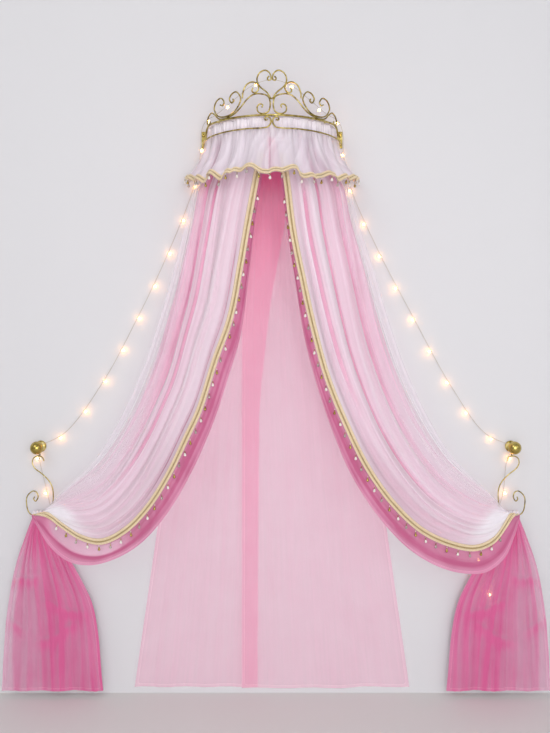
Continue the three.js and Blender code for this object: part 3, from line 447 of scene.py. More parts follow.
def caps(rings, sides):
    last = (rings - 1) * sides
    return [tuple(range(sides - 1, -1, -1)), tuple(range(last, last + sides))]


def ring_uv(around, run):
    uv = np.stack(np.broadcast_arrays(around[None], np.reshape(run, (-1, 1)) * MM), axis=-1)
    return uv.reshape(-1, 2)


def frames_along(path):
    """Two normals of a path, carried along it without twist."""
    tangent = np.gradient(path, axis=0)
    tangent /= np.linalg.norm(tangent, axis=1)[:, None]
    start = np.array([0.0, 0, 1]) if abs(tangent[0][2]) < 0.9 else np.array([1.0, 0, 0])
    n = start - tangent[0] * start.dot(tangent[0])
    normal = np.zeros_like(path)
    for i, t in enumerate(tangent):
        n = n - t * n.dot(t)
        n = n / np.linalg.norm(n)
        normal[i] = n
    return normal, np.cross(tangent, normal)


def tube(path, radius, sides=12, profile=None):
    """A round tube with closed ends. profile(turn, run) scales the radius."""
    path = np.asarray(path, float)
    u, w = frames_along(path)
    run = run_of(path)
    turn = ring_turns(sides)
    r = np.broadcast_to(np.asarray(radius, float).reshape(-1, 1), (len(path), sides)).copy()
    if profile is not None:
        r *= profile(turn[None, :], run[:, None])
    ring = path[:, None] + r[..., None] * (
        np.cos(turn)[None, :, None] * u[:, None] + np.sin(turn)[None, :, None] * w[:, None]
    )
    faces = ring_faces(len(path), sides) + caps(len(path), sides)
    return ring.reshape(-1, 3), faces, ring_uv(turn / (2 * np.pi), run)


def rounded_ends(path, radius):
    """The path with more points at its ends, and the radii that round them off."""
    path = np.asarray(path, float)
    radii = np.full(len(path), float(radius))
    turns = np.linspace(0.12, 1, 4) * math.pi / 2
    for _ in range(2):
        beyond = path[0] - path[1]
        beyond /= np.linalg.norm(beyond)
        tips = path[0] + beyond[None, :] * (radius * np.cos(turns))[:, None]
        path = np.vstack([tips[:-1], path])
        radii = np.concatenate([(radius * np.sin(turns))[:-1], radii])
        path, radii = path[::-1], radii[::-1]
    return path, radii


def spindle(centre, axis, radius, count, sides, least):
    """A closed ellipsoid. axis goes from its middle to a tip, and its tips are blunt by least."""
    t = np.linspace(-1, 1, count)
    return tube(centre + t[:, None] * axis, radius * np.sqrt(np.maximum(least, 1 - t**2)), sides)


def turned(profile, sides, corners):
    """A turned piece from pairs of run and radius. corners(run, u, w) places its rings."""
    p = np.asarray(profile, float)
    turn = ring_turns(sides)
    run = np.broadcast_to(p[:, :1], (len(p), sides))
    rings = np.stack(corners(run, p[:, 1:] * np.cos(turn), p[:, 1:] * np.sin(turn)), axis=-1)
    uv = ring_uv(turn / (2 * np.pi), p[:, 0])
    return rings.reshape(-1, 3), ring_faces(len(p), sides, outside_in=True), uv


def lathe(profile, sides, x, z):
    """A turned piece that stands out of the wall."""
    return turned(profile, sides, lambda run, u, w: (x + u, -run, z + w))


def hanging(profile, top, sides, tilt=(0.0, 0.0)):
    """A turned piece that hangs from a point."""
    return turned(profile, sides, lambda run, u, w: (
        top[0] + u + tilt[0] * run, top[1] + w + tilt[1] * run, top[2] - run
    ))


def standing(profile, foot, sides):
    return hanging([(-run, r) for run, r in profile], foot, sides)


def sheet_faces(rows, columns):
    i = np.arange(rows - 1)[:, None] * columns + np.arange(columns - 1)[None]
    return np.stack([i, i + columns, i + columns + 1, i + 1], axis=-1).reshape(-1, 4).tolist()


# ---- Crown ironwork. Points are shares of the crown's radius along it and of its crest's height ----
SCROLLS = {
    "large_scroll": [
        [0.13, 0.18], [0.122, 0.222], [0.152, 0.25], [0.192, 0.205], [0.19, 0.09], [0.127, 0.03],
        [0.05, 0.07], [0.02, 0.225], [0.048, 0.41], [0.155, 0.477], [0.25, 0.47], [0.343, 0.37],
        [0.42, 0.235], [0.513, 0.105], [0.65, 0.03], [0.81, 0.05], [0.925, 0.2], [1.003, 0.258],
        [1.1, 0.2], [1.145, 0.09], [1.107, 0.02], [1.037, 0.03], [1.045, 0.075],
    ],
    "heart": [
        [0.011, 0.365], [0.062, 0.497], [0.167, 0.654], [0.2, 0.799], [0.167, 0.939], [0.093, 1],
        [0.036, 0.95], [0.011, 0.855], [0.016, 0.79], [0.045, 0.775], [0.058, 0.822], [0.04, 0.86],
    ],
    "c_scroll": [
        [0.783, 0.363], [0.74, 0.335], [0.71, 0.39], [0.765, 0.51], [0.865, 0.48], [0.925, 0.335],
        [0.845, 0.14], [0.72, 0.067], [0.557, 0.11], [0.462, 0.27], [0.432, 0.415], [0.497, 0.575],
        [0.567, 0.553], [0.613, 0.441], [0.573, 0.346], [0.54, 0.385], [0.553, 0.425],
    ],
    "crest_scroll": [
        [0.407, 0.425], [0.397, 0.547], [0.35, 0.698], [0.273, 0.754], [0.196, 0.705], [0.178, 0.59],
        [0.222, 0.507], [0.268, 0.545], [0.258, 0.612],
    ],
}
RAIL_END = [[1.215, 0], [1.2, 0.35], [1.155, 0.78], [1.08, 1]]
LOWER_CURL = [
    [0.1, 0], [0.047, 0.09], [0.013, 0.4], [0.025, 0.76], [0.062, 0.865], [0.092, 0.76],
    [0.085, 0.6], [0.062, 0.62],
]
RAIL_FALL = UPPER_Z - LOWER_Z
# From a rail's end at the wall plate to where its curve starts.
RAIL_TAIL = 9.0


def from_wall(x, z):
    return [[x, -PLATE_T - GAP - run, z] for run in (0, RAIL_TAIL)]


def crown_paths():
    """Name, which is its CAD node too, path and radius of each rod of the crown."""
    end = [[a * CROWN_R, LOWER_Z + r * RAIL_FALL] for a, r in RAIL_END]
    points = [on_crown(-a, z) for a, z in end]
    points += [on_crown(mix(-1, 1, i / 9) * end[-1][0], UPPER_Z) for i in range(1, 9)]
    points += [on_crown(a, z) for a, z in reversed(end)]
    rods = [("upper_rail", stepped(points, 12), UPPER_R)]
    wall_arc = CROWN_R * math.pi / 2
    for name, (sign, _) in SIDES.items():
        points = from_wall(sign * CROWN_R, LOWER_Z)
        points += [
            on_crown(sign * mix(wall_arc, 0.1 * CROWN_R, i / 6), LOWER_Z) for i in range(1, 6)
        ]
        points += [on_crown(sign * a * CROWN_R, LOWER_Z + r * RAIL_FALL) for a, r in LOWER_CURL]
        rods.append(("lower_rail_" + name, stepped(points, 12), LOWER_R))
        for kind, shares in SCROLLS.items():
            points = [on_crown(sign * a * CROWN_R, UPPER_Z + r * CREST) for a, r in shares]
            rods.append((kind + "_" + name, stepped(points, 8), SCROLL_R))
    points = from_wall(-CURTAIN_PATH, UPPER_Z)
    for i in range(1, 10):
        turn = mix(-math.pi / 2, math.pi / 2, i / 10)
        points.append([CURTAIN_PATH * math.sin(turn), -CURTAIN_PATH * math.cos(turn), UPPER_Z])
    points += from_wall(CURTAIN_PATH, UPPER_Z)[::-1]
    rods.append(("curtain_rail", stepped(points, 12), CURTAIN_R))
    return rods


def weld_spots(rods):
    """Where two rods touch, a weld's width or more apart."""
    spots = []
    for i, (_, a, ra) in enumerate(rods):
        for _, b, rb in rods[i + 1:]:
            gap = np.linalg.norm(a[:, None] - b[None], axis=2)
            while gap.min() < ra + rb + 1.4:
                j, k = np.unravel_index(gap.argmin(), gap.shape)
                spot = (a[j] + b[k]) / 2
                if all(np.linalg.norm(spot - s) > 7 for s in spots):
                    spots.append(spot)
                gap[np.linalg.norm(a - spot, axis=1) < 26] = 1e9
    return spots


def hammered(turn, run):
    return 1 + 0.02 * np.sin(run * 0.83 + 2.1 * np.sin(turn)) * np.sin(run * 0.31)


def make_crown():
    rods = crown_paths()
    for name, path, radius in rods:
        line, radii = path, np.full(len(path), radius)
        if "lower_rail" in name:
            # Its other end is at the wall.
            line, radii = (array[3:] for array in rounded_ends(path, radius))
        elif "rail" not in name:
            line, radii = rounded_ends(path, radius)
        shape = tube(line, radii, 14, hammered)
        solid("rod_" + name, shape, GOLD, 60, cad=[name])
    spots = weld_spots([rod for rod in rods if rod[0] != "curtain_rail"])
    welds = [spindle(spot, np.array([0, 0, 3.4]), 3.3, 7, 10, 0.02) for spot in spots]
    solid("rod_welds", joined(welds), GOLD, 80)
    for name, angle in (("centre", 0), ("left", -50), ("right", 50)):
        arc = CROWN_R * math.radians(angle)
        ends = [on_crown(arc, UPPER_Z, r) for r in (CURTAIN_PATH + 3.2, CROWN_R - 3.2)]
        shape = tube(np.linspace(*ends, 8), SPACER_R, 12)
        solid("spacer_" + name, shape, GOLD, 60, cad=["rail_spacer_" + name])


def soften(names, material, width, segments=2):
    """CAD solids that show as they are, with rounded edges."""
    for name in names:
        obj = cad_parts[name]
        modifier = obj.modifiers.new("edge", "BEVEL")
        modifier.width = width * MM
        modifier.segments = segments
        modifier.limit_method = "ANGLE"
        modifier.angle_limit = math.radians(40)
        obj.data.materials.clear()
        obj.data.materials.append(material)


SCREW_SHAFT, SCREW_LENGTH, SCREW_PITCH = 2.0, 30.0, 1.8
FRONT = PLATE_T + GAP


def screw_shaft(head_radius):
    """The threaded shaft, from its tip to the edge of its head at the plate's front."""
    points = [(-SCREW_LENGTH, 0.05), (-SCREW_LENGTH + 4, SCREW_SHAFT * 0.75)]
    for i in range(int((SCREW_LENGTH - 6) / SCREW_PITCH)):
        start = -SCREW_LENGTH + 4 + i * SCREW_PITCH
        points.append((start + SCREW_PITCH * 0.25, SCREW_SHAFT * 0.72))
        points.append((start + SCREW_PITCH * 0.6, SCREW_SHAFT))
    core = SCREW_SHAFT * 0.8
    return points + [(-0.5, core), (FRONT, core), (FRONT, head_radius)]


def pan_screw(radius, height):
    points = screw_shaft(radius)
    for i in range(1, 7):
        turn = i / 6 * math.pi / 2
        points.append(
            (FRONT + height * math.sin(turn), 0.001 + radius * (0.35 + 0.65 * math.cos(turn)))
        )
    return points + [(FRONT + height * 0.62, radius * 0.3), (FRONT + height * 0.6, 0.001)]


# The thumb screw's collar and head: distance before the plate's front, and radius.
THUMB_HEAD = [
    (0.01, 3.4), (2.5, 3.4), (3, 5.4), (3.6, 6.0), (9.6, 6.0), (10.4, 5.6), (11, 4.6), (11, 0.001),
]


def thumb_screw(x, z):
    """A screw whose head is knurled, by 24 grooves round its widest part."""
    profile = screw_shaft(6.0)[:-1] + [(FRONT + out, r) for out, r in THUMB_HEAD]
    v, f, uv = lathe(profile, 48, x, z)
    r, turn = np.hypot(v[:, 0] - x, v[:, 2] - z), np.arctan2(v[:, 2] - z, v[:, 0] - x)
    grip = (r > 5.8) & (v[:, 1] < -FRONT - 3)
    scale = np.where(grip, 1 - 0.035 * (1 + np.sign(np.sin(24 * turn + 0.2))), 1.0)
    v[:, 0] = x + (v[:, 0] - x) * scale
    v[:, 2] = z + (v[:, 2] - z) * scale
    return v, f, uv


def make_fixings():
    soften(("rear_bar", "wall_plate_left", "wall_plate_right"), GOLD, 0.8)
    for side, (sign, _) in SIDES.items():
        for i, z in enumerate(PLATE_SCREWS_Z):
            name = f"{side}_{i + 1}"
            shape = lathe(pan_screw(4.0, 2.5), 20, sign * (CROWN_R - PLATE_INSET), z)
            solid("screw_" + name, shape, STEEL, 35, cad=["plate_screw_" + name])
        shape = thumb_screw(sign * CROWN_R, THUMB_Z)
        solid("thumbscrew_" + side, shape, BRASS, 35, cad=["thumb_screw_" + side])


make_crown()
make_fixings()


# ---- Cloth surfaces. An edge's points are shares of the way from the rail out to the knob, and of the
# cradle's drop ----
EDGES = {
    "left": {
        "pink": [
            [0.033, 0.13], [0.064, 0.25], [0.091, 0.39], [0.123, 0.53], [0.171, 0.63],
            [0.236, 0.75], [0.326, 0.875], [0.432, 0.985], [0.543, 1.062], [0.658, 1.105],
            [0.759, 1.122], [0.849, 1.115], [0.92, 1.085], [0.965, 1.05],
        ],
        "braid": [
            [0.037, 0.13], [0.073, 0.248], [0.102, 0.35], [0.145, 0.487], [0.206, 0.592],
            [0.274, 0.721], [0.327, 0.79], [0.403, 0.885], [0.494, 0.972], [0.595, 1.035],
            [0.697, 1.066], [0.788, 1.058], [0.879, 1.028], [0.944, 1.003],
        ],
        "outer": [
            [0.003, 0.03], [0.012, 0.06], [0.042, 0.096], [0.09, 0.135], [0.139, 0.221],
            [0.213, 0.353], [0.297, 0.485], [0.394, 0.617], [0.523, 0.749], [0.664, 0.855],
            [0.805, 0.92], [0.886, 0.958], [0.926, 0.984],
        ],
    },
    "right": {
        "pink": [
            [0.029, 0.13], [0.053, 0.25], [0.087, 0.39], [0.123, 0.53], [0.168, 0.64],
            [0.231, 0.76], [0.311, 0.88], [0.417, 0.985], [0.538, 1.07], [0.658, 1.12],
            [0.769, 1.143], [0.869, 1.143], [0.945, 1.11], [0.985, 1.06],
        ],
        "braid": [
            [0.033, 0.137], [0.059, 0.266], [0.098, 0.389], [0.142, 0.514], [0.197, 0.639],
            [0.278, 0.765], [0.359, 0.867], [0.461, 0.958], [0.585, 1.033], [0.712, 1.073],
            [0.818, 1.086], [0.899, 1.068], [0.955, 1.028], [0.985, 1.003],
        ],
        "outer": [
            [0.001, 0.03], [0.009, 0.06], [0.038, 0.096], [0.086, 0.135], [0.134, 0.221],
            [0.221, 0.353], [0.304, 0.485], [0.4, 0.617], [0.528, 0.749], [0.667, 0.855],
            [0.807, 0.92], [0.887, 0.958], [0.927, 0.984],
        ],
    },
}
TAIL_OUTER = [[1.05, 0.12], [1.095, 0.3], [1.13, 0.58], [1.152, 1]]
TAIL_INNER = [[0.94, 0.1], [0.86, 0.26], [0.765, 0.52], [0.72, 1]]
# From the hook wire's middle to the middle of the layers that lie over it.
OVER_WIRE = HOOK_WIRE + 0.9 + 1.2 + 2.2 + 4
BUNDLE = 30.0
BRAID_W, BRAID_LIFT = 27.0, 2.6
# The drapes' angles on the rail: the pink edge, the braid and the outer edge.
TOP_PINK, TOP_BRAID, TOP_OUTER = 1.2, 2.5, 78
HEADER_R = CROWN_R - 38
TAIL_DEPTH = 46.0


def over_cradle(x, face):
    turns = [(math.cos(math.pi * s), math.sin(math.pi * s)) for s in (0, 0.17, 0.34)]
    turns += [(0.2, 1.0), (0.04, 1.0)]
    return [[x, -KNOB_DEPTH + face * d * OVER_WIRE, -CRADLE_DROP + r * OVER_WIRE] for d, r in turns]


def on_header(degrees):
    return np.array(on_crown(CROWN_R * math.radians(degrees), HEADER_Z, HEADER_R))


def drape_place(side):
    """The drape's surface: across from -1 at the pink edge over 0 at the braid to 1, and down."""
    sign, reach = SIDES[side]
    middle = reach - CRADLE_INSET

    def edge(kind, angle, near, far, cradle_x):
        """near and far are its distances from the wall under the rail and at the knob."""
        top = on_header(angle)
        points = [top, top - [0, 0, 14]]
        for out, drop in EDGES[side][kind]:
            points.append([mix(top[0], reach, out), -mix(near, far, out), -drop * CRADLE_DROP])
        return points + over_cradle(cradle_x, -1)

    edges = (
        edge("pink", TOP_PINK, 268, 96, middle + BUNDLE + 3),
        edge("braid", TOP_BRAID, 268, 96, middle + BUNDLE),
        edge("outer", TOP_OUTER, 66.5, 80, middle - BUNDLE),
    )
    first, last = on_header(TOP_BRAID), on_header(TOP_OUTER)

    def place(across, down):
        at = np.clip(down, 0, 1)
        pink, braid, outer = (along(points, at)[:, None] for points in edges)
        a = across[None, :, None]
        p = np.where(a < 0, pink + (braid - pink) * (a + 1), braid + (outer - braid) * a)
        # Near the rail the surface follows its curve.
        bulge = np.array([
            on_header(mix(TOP_BRAID, TOP_OUTER, x)) - (first + (last - first) * x)
            if x > 0 else np.zeros(3) for x in across
        ])
        share = np.where(at < 0.6, (1 + np.cos(np.pi * np.minimum(at, 0.6) / 0.6)) / 2, 0)
        return (p + bulge[None] * share[:, None, None]) * [sign, 1, 1]

    return place


def tail_place(side):
    sign, reach = SIDES[side]
    middle = reach - CRADLE_INSET

    def edge(shares, cradle_x):
        points = over_cradle(cradle_x, 1)[::-1]
        fall = HEM - CRADLE_DROP
        return points + [
            [out * reach, -TAIL_DEPTH, -CRADLE_DROP - drop * fall] for out, drop in shares
        ]

    outer, inner = edge(TAIL_OUTER, middle + BUNDLE), edge(TAIL_INNER, middle - BUNDLE)

    def place(across, down):
        at = np.clip(down, 0, 1)
        o, i = along(outer, at)[:, None], along(inner, at)[:, None]
        return (o + (i - o) * across[None, :, None]) * [sign, 1, 1]

    return place


STEP = 1e-3


def surface(place, across, down, lift):
    """Points of the surface, moved along its normal by lift (an array of rows by columns)."""
    beside = np.maximum(across, 0)
    here = place(across, down)
    sideways = place(beside + STEP, down) - place(beside, down)
    onward = place(beside, down + STEP) - place(beside, down - STEP)
    normal = np.cross(sideways, onward)
    normal /= np.maximum(np.linalg.norm(normal, axis=2, keepdims=True), 1e-9)
    return here + normal * lift[..., None]


def drape_fold(across, down):
    """The folds that the drape's layers and its braid share: four deep ones and some between them."""
    a, d = across[None, :], down[:, None]
    swell, close = smoothstep(d, 0.1, 0.35), smoothstep(d, 0.62, 0.97)
    depth = mix(5.5 + 9.5 * swell, 2.2, close)
    bend = 0.03 * wave(0.9 * a + 0.7 * d)
    between = 3.4 * swell * (1 - close) * smoothstep(a, 0.04, 0.16)
    deep = np.where(a < 0, np.sin(np.pi * a) * 0.5, wave(4 * a))
    return depth * deep + between * wave(9 * (a + bend), 1.1)


def pleats(across, down, seed, count=11):
    """Narrow pressed pleats, 0 to 1: each has one crisp and one soft edge and wanders as it falls."""
    rng = np.random.default_rng(seed)
    a, d = np.maximum(across, 0)[None, :], down[:, None]
    p, q, r = rng.uniform(0, 2 * np.pi, 3)
    wander = 0.034 * wave(0.8 * a + 0.5 * d, p) + 0.017 * wave(2.1 * a - 0.9 * d, q)
    phase = count * (a + wander) + 3
    share = phase - np.floor(phase)
    strength = rng.uniform(0.35, 1.0, count + 8)[np.clip(phase.astype(int), 0, count + 7)]
    strength = strength * (0.8 + 0.2 * wave(1.3 * d, r + phase.astype(int)))
    return strength * smoothstep(share, 0.0, 0.2) * fade(share, 0.2, 0.98)


# The pleats' mean height, which leaves the cover as it is.
EVEN_PLEAT = 0.28
# Sets of gathers: how many, their depth, and the shares of the height where each comes and goes.
GATHERS = [
    (9, 3.0, (0.02, 0.2), (0.7, 0.93)),
    (15, 1.9, (0.0, 0.1), (0.55, 0.9)),
    (31, 1.25, (-0.2, -0.1), (0.12, 0.42)),
    (22, 0.8, (0.4, 0.7), (0.93, 1.0)),
]
# Keeps what is added to the folds of one layer from the next.
MOST_GATHER = 2.9


def small_folds(across, down, seed):
    """Gathers: many and narrow below the rail, fewer lower down, pressed flat at the hook."""
    rng = np.random.default_rng(seed)
    a, d = across[None, :], down[:, None]
    total = 0 * (a + d)
    for count, depth, start, end in GATHERS:
        phase, drift, pace = rng.uniform(0, 6.28), rng.uniform(-1.6, 1.6), rng.uniform(0.5, 1.2)
        warp = 0.03 * wave(1.3 * a + pace * d, phase)
        height = 0.65 + 0.35 * wave(2.3 * a + 1.1 * d, 2 * phase)
        shape = wave(count * (a + warp), drift * d * 2 + phase)
        total += depth * height * shape * smoothstep(d, *start) * fade(d, *end)
    return total * smoothstep(a, 0.075, 0.16)


def calm(a, d):
    """Pleats fade where the drape's outer part is drawn flat towards the hook."""
    return 1 - 0.75 * smoothstep(a, 0.5, 0.75) * smoothstep(d, 0.45, 0.7)


def gathers(across, down, seed):
    """small_folds and pleats of one layer, kept so low that two layers never meet."""
    a, d = across[None, :], down[:, None]
    pressed = 3.4 * (pleats(across, down, seed) - 0.35) * smoothstep(a, 0.05, 0.12)
    pressed = pressed * smoothstep(d, 0.05, 0.25) * fade(d, 0.88, 0.98)
    total = calm(a, d) * (small_folds(across, down, seed) * 0.42 + pressed)
    return MOST_GATHER * np.tanh(total / MOST_GATHER)


def slope(lift, points):
    """How much steeper than its surface the cloth stands, which makes sheer cloth look denser."""
    run = np.linalg.norm(np.gradient(points, axis=1), axis=2)
    rise = np.gradient(lift, axis=1)
    return np.clip(np.abs(rise) / np.maximum(run, 0.4), 0, 1.2) / 1.2


def edge_distance(points, sides):
    """Distance in metres of each grid point from the nearest of the named edges."""
    across, down = (np.linalg.norm(np.diff(points, axis=axis), axis=2) for axis in (1, 0))
    left = np.pad(np.cumsum(across, axis=1), ((0, 0), (1, 0)))
    top = np.pad(np.cumsum(down, axis=0), ((1, 0), (0, 0)))
    kinds = {"left": left, "right": left[:, -1:] - left, "bottom": top[-1:] - top}
    return np.minimum.reduce([kinds[k] for k in sides]) * MM


def cloth(name, points, material, cover, cad, hems, body=None):
    rows, columns = points.shape[:2]
    width = np.linalg.norm(np.diff(points, axis=1), axis=2).sum(axis=1).max()
    down = np.linalg.norm(np.diff(points, axis=0), axis=2).mean(axis=1)
    u = np.linspace(0, width * MM, columns)[None]
    v = (np.concatenate([[0], np.cumsum(down)]) * MM)[:, None]
    uv = np.stack(np.broadcast_arrays(u, v), axis=-1).reshape(-1, 2)
    return piece(
        name, (points.reshape(-1, 3), sheet_faces(rows, columns), uv), material, body, [cad],
        {"cover": np.clip(cover, 0, 1), "edge": edge_distance(points, hems)},
    )


# ---- Braids and their drops ----
def ribbon_surface(place, lift, down, widths, back):
    """Points beside an edge: for each row, the wanted distances from it along the cloth."""
    fine = np.linspace(0, 1, 60)
    grid = surface(place, fine, down, lift(fine, down) + back)
    return np.array([at_run(widths, run_of(row), row) for row in grid])


# A drop's glass or pearl and its cap, by drop and radius.
TEARDROP = [
    (0.0, 0.02), (0.5, 1.0), (1.4, 1.5), (3.7, 2.2), (6.2, 3.5), (8.7, 4.8), (11.0, 5.5),
    (13.4, 5.3), (15.2, 4.3), (16.5, 2.5), (17.2, 0.05),
]
CAP = [(0.0, 0.4), (0.2, 1.5), (1.6, 2.3), (3.2, 2.9), (3.6, 3.1), (3.9, 2.8)]
DROP_THREAD = [(-2, 0.5), (4, 0.55), (9.2, 0.5)]
SEED_R, SEED_DROP, TEAR_DROP, CAP_DROP = 2.0, 2.4, 8.4, 7.2
DROP_PITCH = 52.0
DROP_LOOKS = {"pearl": PEARL, "gold": BRASS, "glass": CLEAR}


def lowered(profile, drop):
    return [(drop + run, r) for run, r in profile]


def ball(radius, drop):
    turns = np.linspace(0.02, math.pi - 0.02, 6)
    return [(drop + radius * (1 - math.cos(t)), radius * math.sin(t)) for t in turns]


def bead_drops(name, line, out):
    """Short threads with a seed bead and a capped teardrop: in turn pearl, clear and gold."""
    run = run_of(line)
    count = int(run[-1] // DROP_PITCH)
    at = (run[-1] - count * DROP_PITCH) / 2 + np.arange(count + 1) * DROP_PITCH
    rng = np.random.default_rng(count + 1)
    threads, groups = [], {"pearl": [], "gold": [], "glass": []}
    for i, top in enumerate(at_run(at, run, line) + out):
        kind = ("pearl", "glass", "gold")[i % 3]
        seed = "pearl" if kind == "gold" else "gold"
        tilt = rng.uniform(-0.12, 0.12, 2)
        threads.append(hanging(DROP_THREAD, top, 6, tilt))
        groups[seed].append(hanging(ball(SEED_R, SEED_DROP), top, 8, tilt))
        groups[kind].append(hanging(lowered(TEARDROP, TEAR_DROP), top, 12, tilt))
        groups["gold"].append(hanging(lowered(CAP, CAP_DROP), top, 10, tilt))
    objects = [piece(name + "_threads", joined(threads), CREAM_CORD, None)]
    for kind, parts in groups.items():
        look = DROP_LOOKS[kind]
        objects.append(solid(f"{name}_{kind}", joined(parts), look, 60, None))
    return objects


RIBBON_HALF = 0.6
PLY_R, PLY_PITCH, PLAIT_PITCH, PLAIT_INSET, PLAIT_SWING = 1.95, 5.0, 15, 5.4, 3.3
CHAIN_R, CHAIN_PITCH = 2.1, 5.0


def twisted(turn, run):
    return 1 + 0.13 * np.cos(2 * turn - 2 * np.pi * run / PLY_PITCH)


def trim(name, rows, cad):
    """A braid along rows of points, which stand at 0, 1/4, 1/2, 3/4 and all of its width: a woven
    ribbon with a flat plait of three cords along each edge and a row of gold beads between them."""
    middle, side = rows[:, 2], rows[:, -1] - rows[:, 0]
    width = np.linalg.norm(side, axis=1)
    side /= np.maximum(width, 1e-9)[:, None]
    run = np.gradient(middle, axis=0)
    run /= np.linalg.norm(run, axis=1)[:, None]
    face = np.cross(run, side)
    face *= np.where(face[:, 1:2] > 0, -1, 1) if abs(face[:, 1].mean()) > 0.2 else 1
    count, columns = rows.shape[:2]
    length = run_of(middle)
    away = face[:, None] * RIBBON_HALF
    loop = np.concatenate([rows + away, (rows - away)[:, ::-1]], axis=1)
    sides = loop.shape[1]
    across = np.concatenate([np.linspace(0, 1, columns), np.linspace(1, 0, columns)])
    ribbon = (
        loop.reshape(-1, 3), ring_faces(count, sides) + caps(count, sides), ring_uv(across, length)
    )
    at = np.arange(0, length[-1], 2.0)
    mid, out, up = (at_run(at, length, array) for array in (middle, side, face))
    half = np.interp(at, length, width)[:, None] / 2
    cords = []
    for centre in (-1, 1):
        for strand in range(3):
            turn = (2 * np.pi * (at / PLAIT_PITCH + strand / 3))[:, None]
            place = mid + out * (centre * (half - PLAIT_INSET) + PLAIT_SWING * np.sin(turn))
            cords.append(tube(place + up * (2.0 + 0.8 * np.sin(2 * turn)), PLY_R, 7, twisted))
    knots = np.arange(3, length[-1] - 2, CHAIN_PITCH)
    bead = ball(CHAIN_R, -CHAIN_R)
    chain = [hanging(bead, centre, 7) for centre in at_run(knots, length, middle + face * 2.4)]
    return [
        piece(name + "_ribbon", ribbon, RIBBON, None, [cad]),
        piece(name + "_cords", joined(cords), CREAM_CORD, None),
        piece(name + "_chain", joined(chain), GOLD_CHAIN, None),
    ]


# ---- Drapes, tails, valance and panels ----
def bent(objects, side, tail=False):
    """Bakes each object's placing into its mesh. The bend from the frame to the swinging hook, or back
    from the hook to the frame, is worked out but not made.
    """
    sign, reach = SIDES[side]
    hook = (sign * (reach - CRADLE_INSET) * MM, -KNOB_DEPTH * MM, -CRADLE_DROP * MM)
    if tail:
        start, end, pair = hook, (hook[0], -TAIL_DEPTH * MM, -2.3), ("hook_" + side, "frame")
    else:
        start, end, pair = (sign * 0.5, -0.1, -0.95), hook, ("frame", "hook_" + side)
    for obj in objects:
        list(pair)
        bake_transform(obj)
        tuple(start)
        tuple(end)


# The random seeds of each side's cloth: white and pink layer, the tail's folds and its pleats.
SEEDS = {"left": (11, 21, 31, 41), "right": (12, 22, 32, 42)}


def white_cover(a, d):
    """White over its inner half, a veil over the outer third, and dense in the swag and at the hook."""
    cover = mix(0.62, 0.24, smoothstep(a, 0.4, 0.78)) + 0.1 * smoothstep(a, 0.93, 1.0)
    cover = cover + 0.2 * fade(a, 0.02, 0.1) * fade(d, 0.5, 0.8) + 0.22 * fade(d, 0.01, 0.12)
    cover = cover - 0.1 * smoothstep(d, 0.5, 0.7) * fade(a, 0.2, 0.6)
    reach = mix(0.02, 0.8, smoothstep(d, 0.84, 0.99))
    return cover + 0.48 * smoothstep(d, 0.8, 0.95) * fade(a - reach, 0, 0.34)


# Where the white is pulled apart and the pink shows: place across, half width, drift down, and the
# shares of the drape's height between which it lies.
PARTINGS = {
    "left": [
        (0.13, 0.012, -0.02, 0.2, 0.8), (0.52, 0.022, 0.03, 0.05, 0.85), (0.72, 0.07, 0.0, 0.03, 0.8),
    ],
    "right": [
        (0.24, 0.026, 0.05, 0.08, 0.62), (0.41, 0.032, 0.04, 0.02, 0.86), (0.66, 0.05, 0.0, 0.2, 0.9),
    ],
}


def parting(side, a, d):
    apart = 0 * (a + d)
    for at, width, drift, start, end in PARTINGS[side]:
        away = (a - at - drift * (d - 0.3) - 0.006 * np.sin(11 * d + 9 * at)) / width
        shape = smoothstep(away, -1.3, -0.9) * fade(away, -0.2, 1.2)
        shape = shape * smoothstep(d, start, start + 0.08) * fade(d, end - 0.2, end)
        apart = np.maximum(apart, shape)
    return apart


def pink_cover(side, a, d):
    """Dense in the strip past the braid, which has painted shade along the fold in its middle, and thin
    at its outer edge.
    """
    cover = 0.62 + 0.25 * fade(d, 0.02, 0.2) - 0.16 * smoothstep(a, 0.6, 0.95)
    cover = cover + smoothstep(d, 0.45, 0.75) * mix(0.1, -0.34, smoothstep(a, 0.3, 0.85))
    # Painted shade: the cover, and with it the deep colour, rises along the strip's middle fold.
    crease = bell(a + 0.5 + 0.12 * np.sin(9 * d), 0.09) * smoothstep(d, 0.1, 0.3)
    strip = 0.88 + 0.24 * crease - 0.12 * smoothstep(-a, 0.75, 0.95)
    if side == "left":
        # There the strip is paler along the braid's lowest stretch.
        pale = smoothstep(d, 0.76, 0.84) * fade(d, 0.93, 0.97)
        strip = strip - 0.36 * pale * smoothstep(a, -0.6, -0.5)
    return cover, strip


def make_white_drape(side, place, down):
    sign, seed = SIDES[side][0], SEEDS[side][0]
    across = np.linspace(0, 1, 210)
    a, d = across[None, :], down[:, None]
    lift = drape_fold(across, down) + gathers(across, down, seed)
    points = surface(place, across, down, -sign * (lift + LAYER))
    pleated = 0.2 * calm(a, d) * (pleats(across, down, seed) - EVEN_PLEAT)
    cover = white_cover(a, d) + pleated + 0.16 * slope(lift, points)
    return cloth(
        "voile_white_" + side, points, WHITE, cover * (1 - 0.85 * parting(side, a, d)),
        "white_drape_" + side, ("right",),
    )


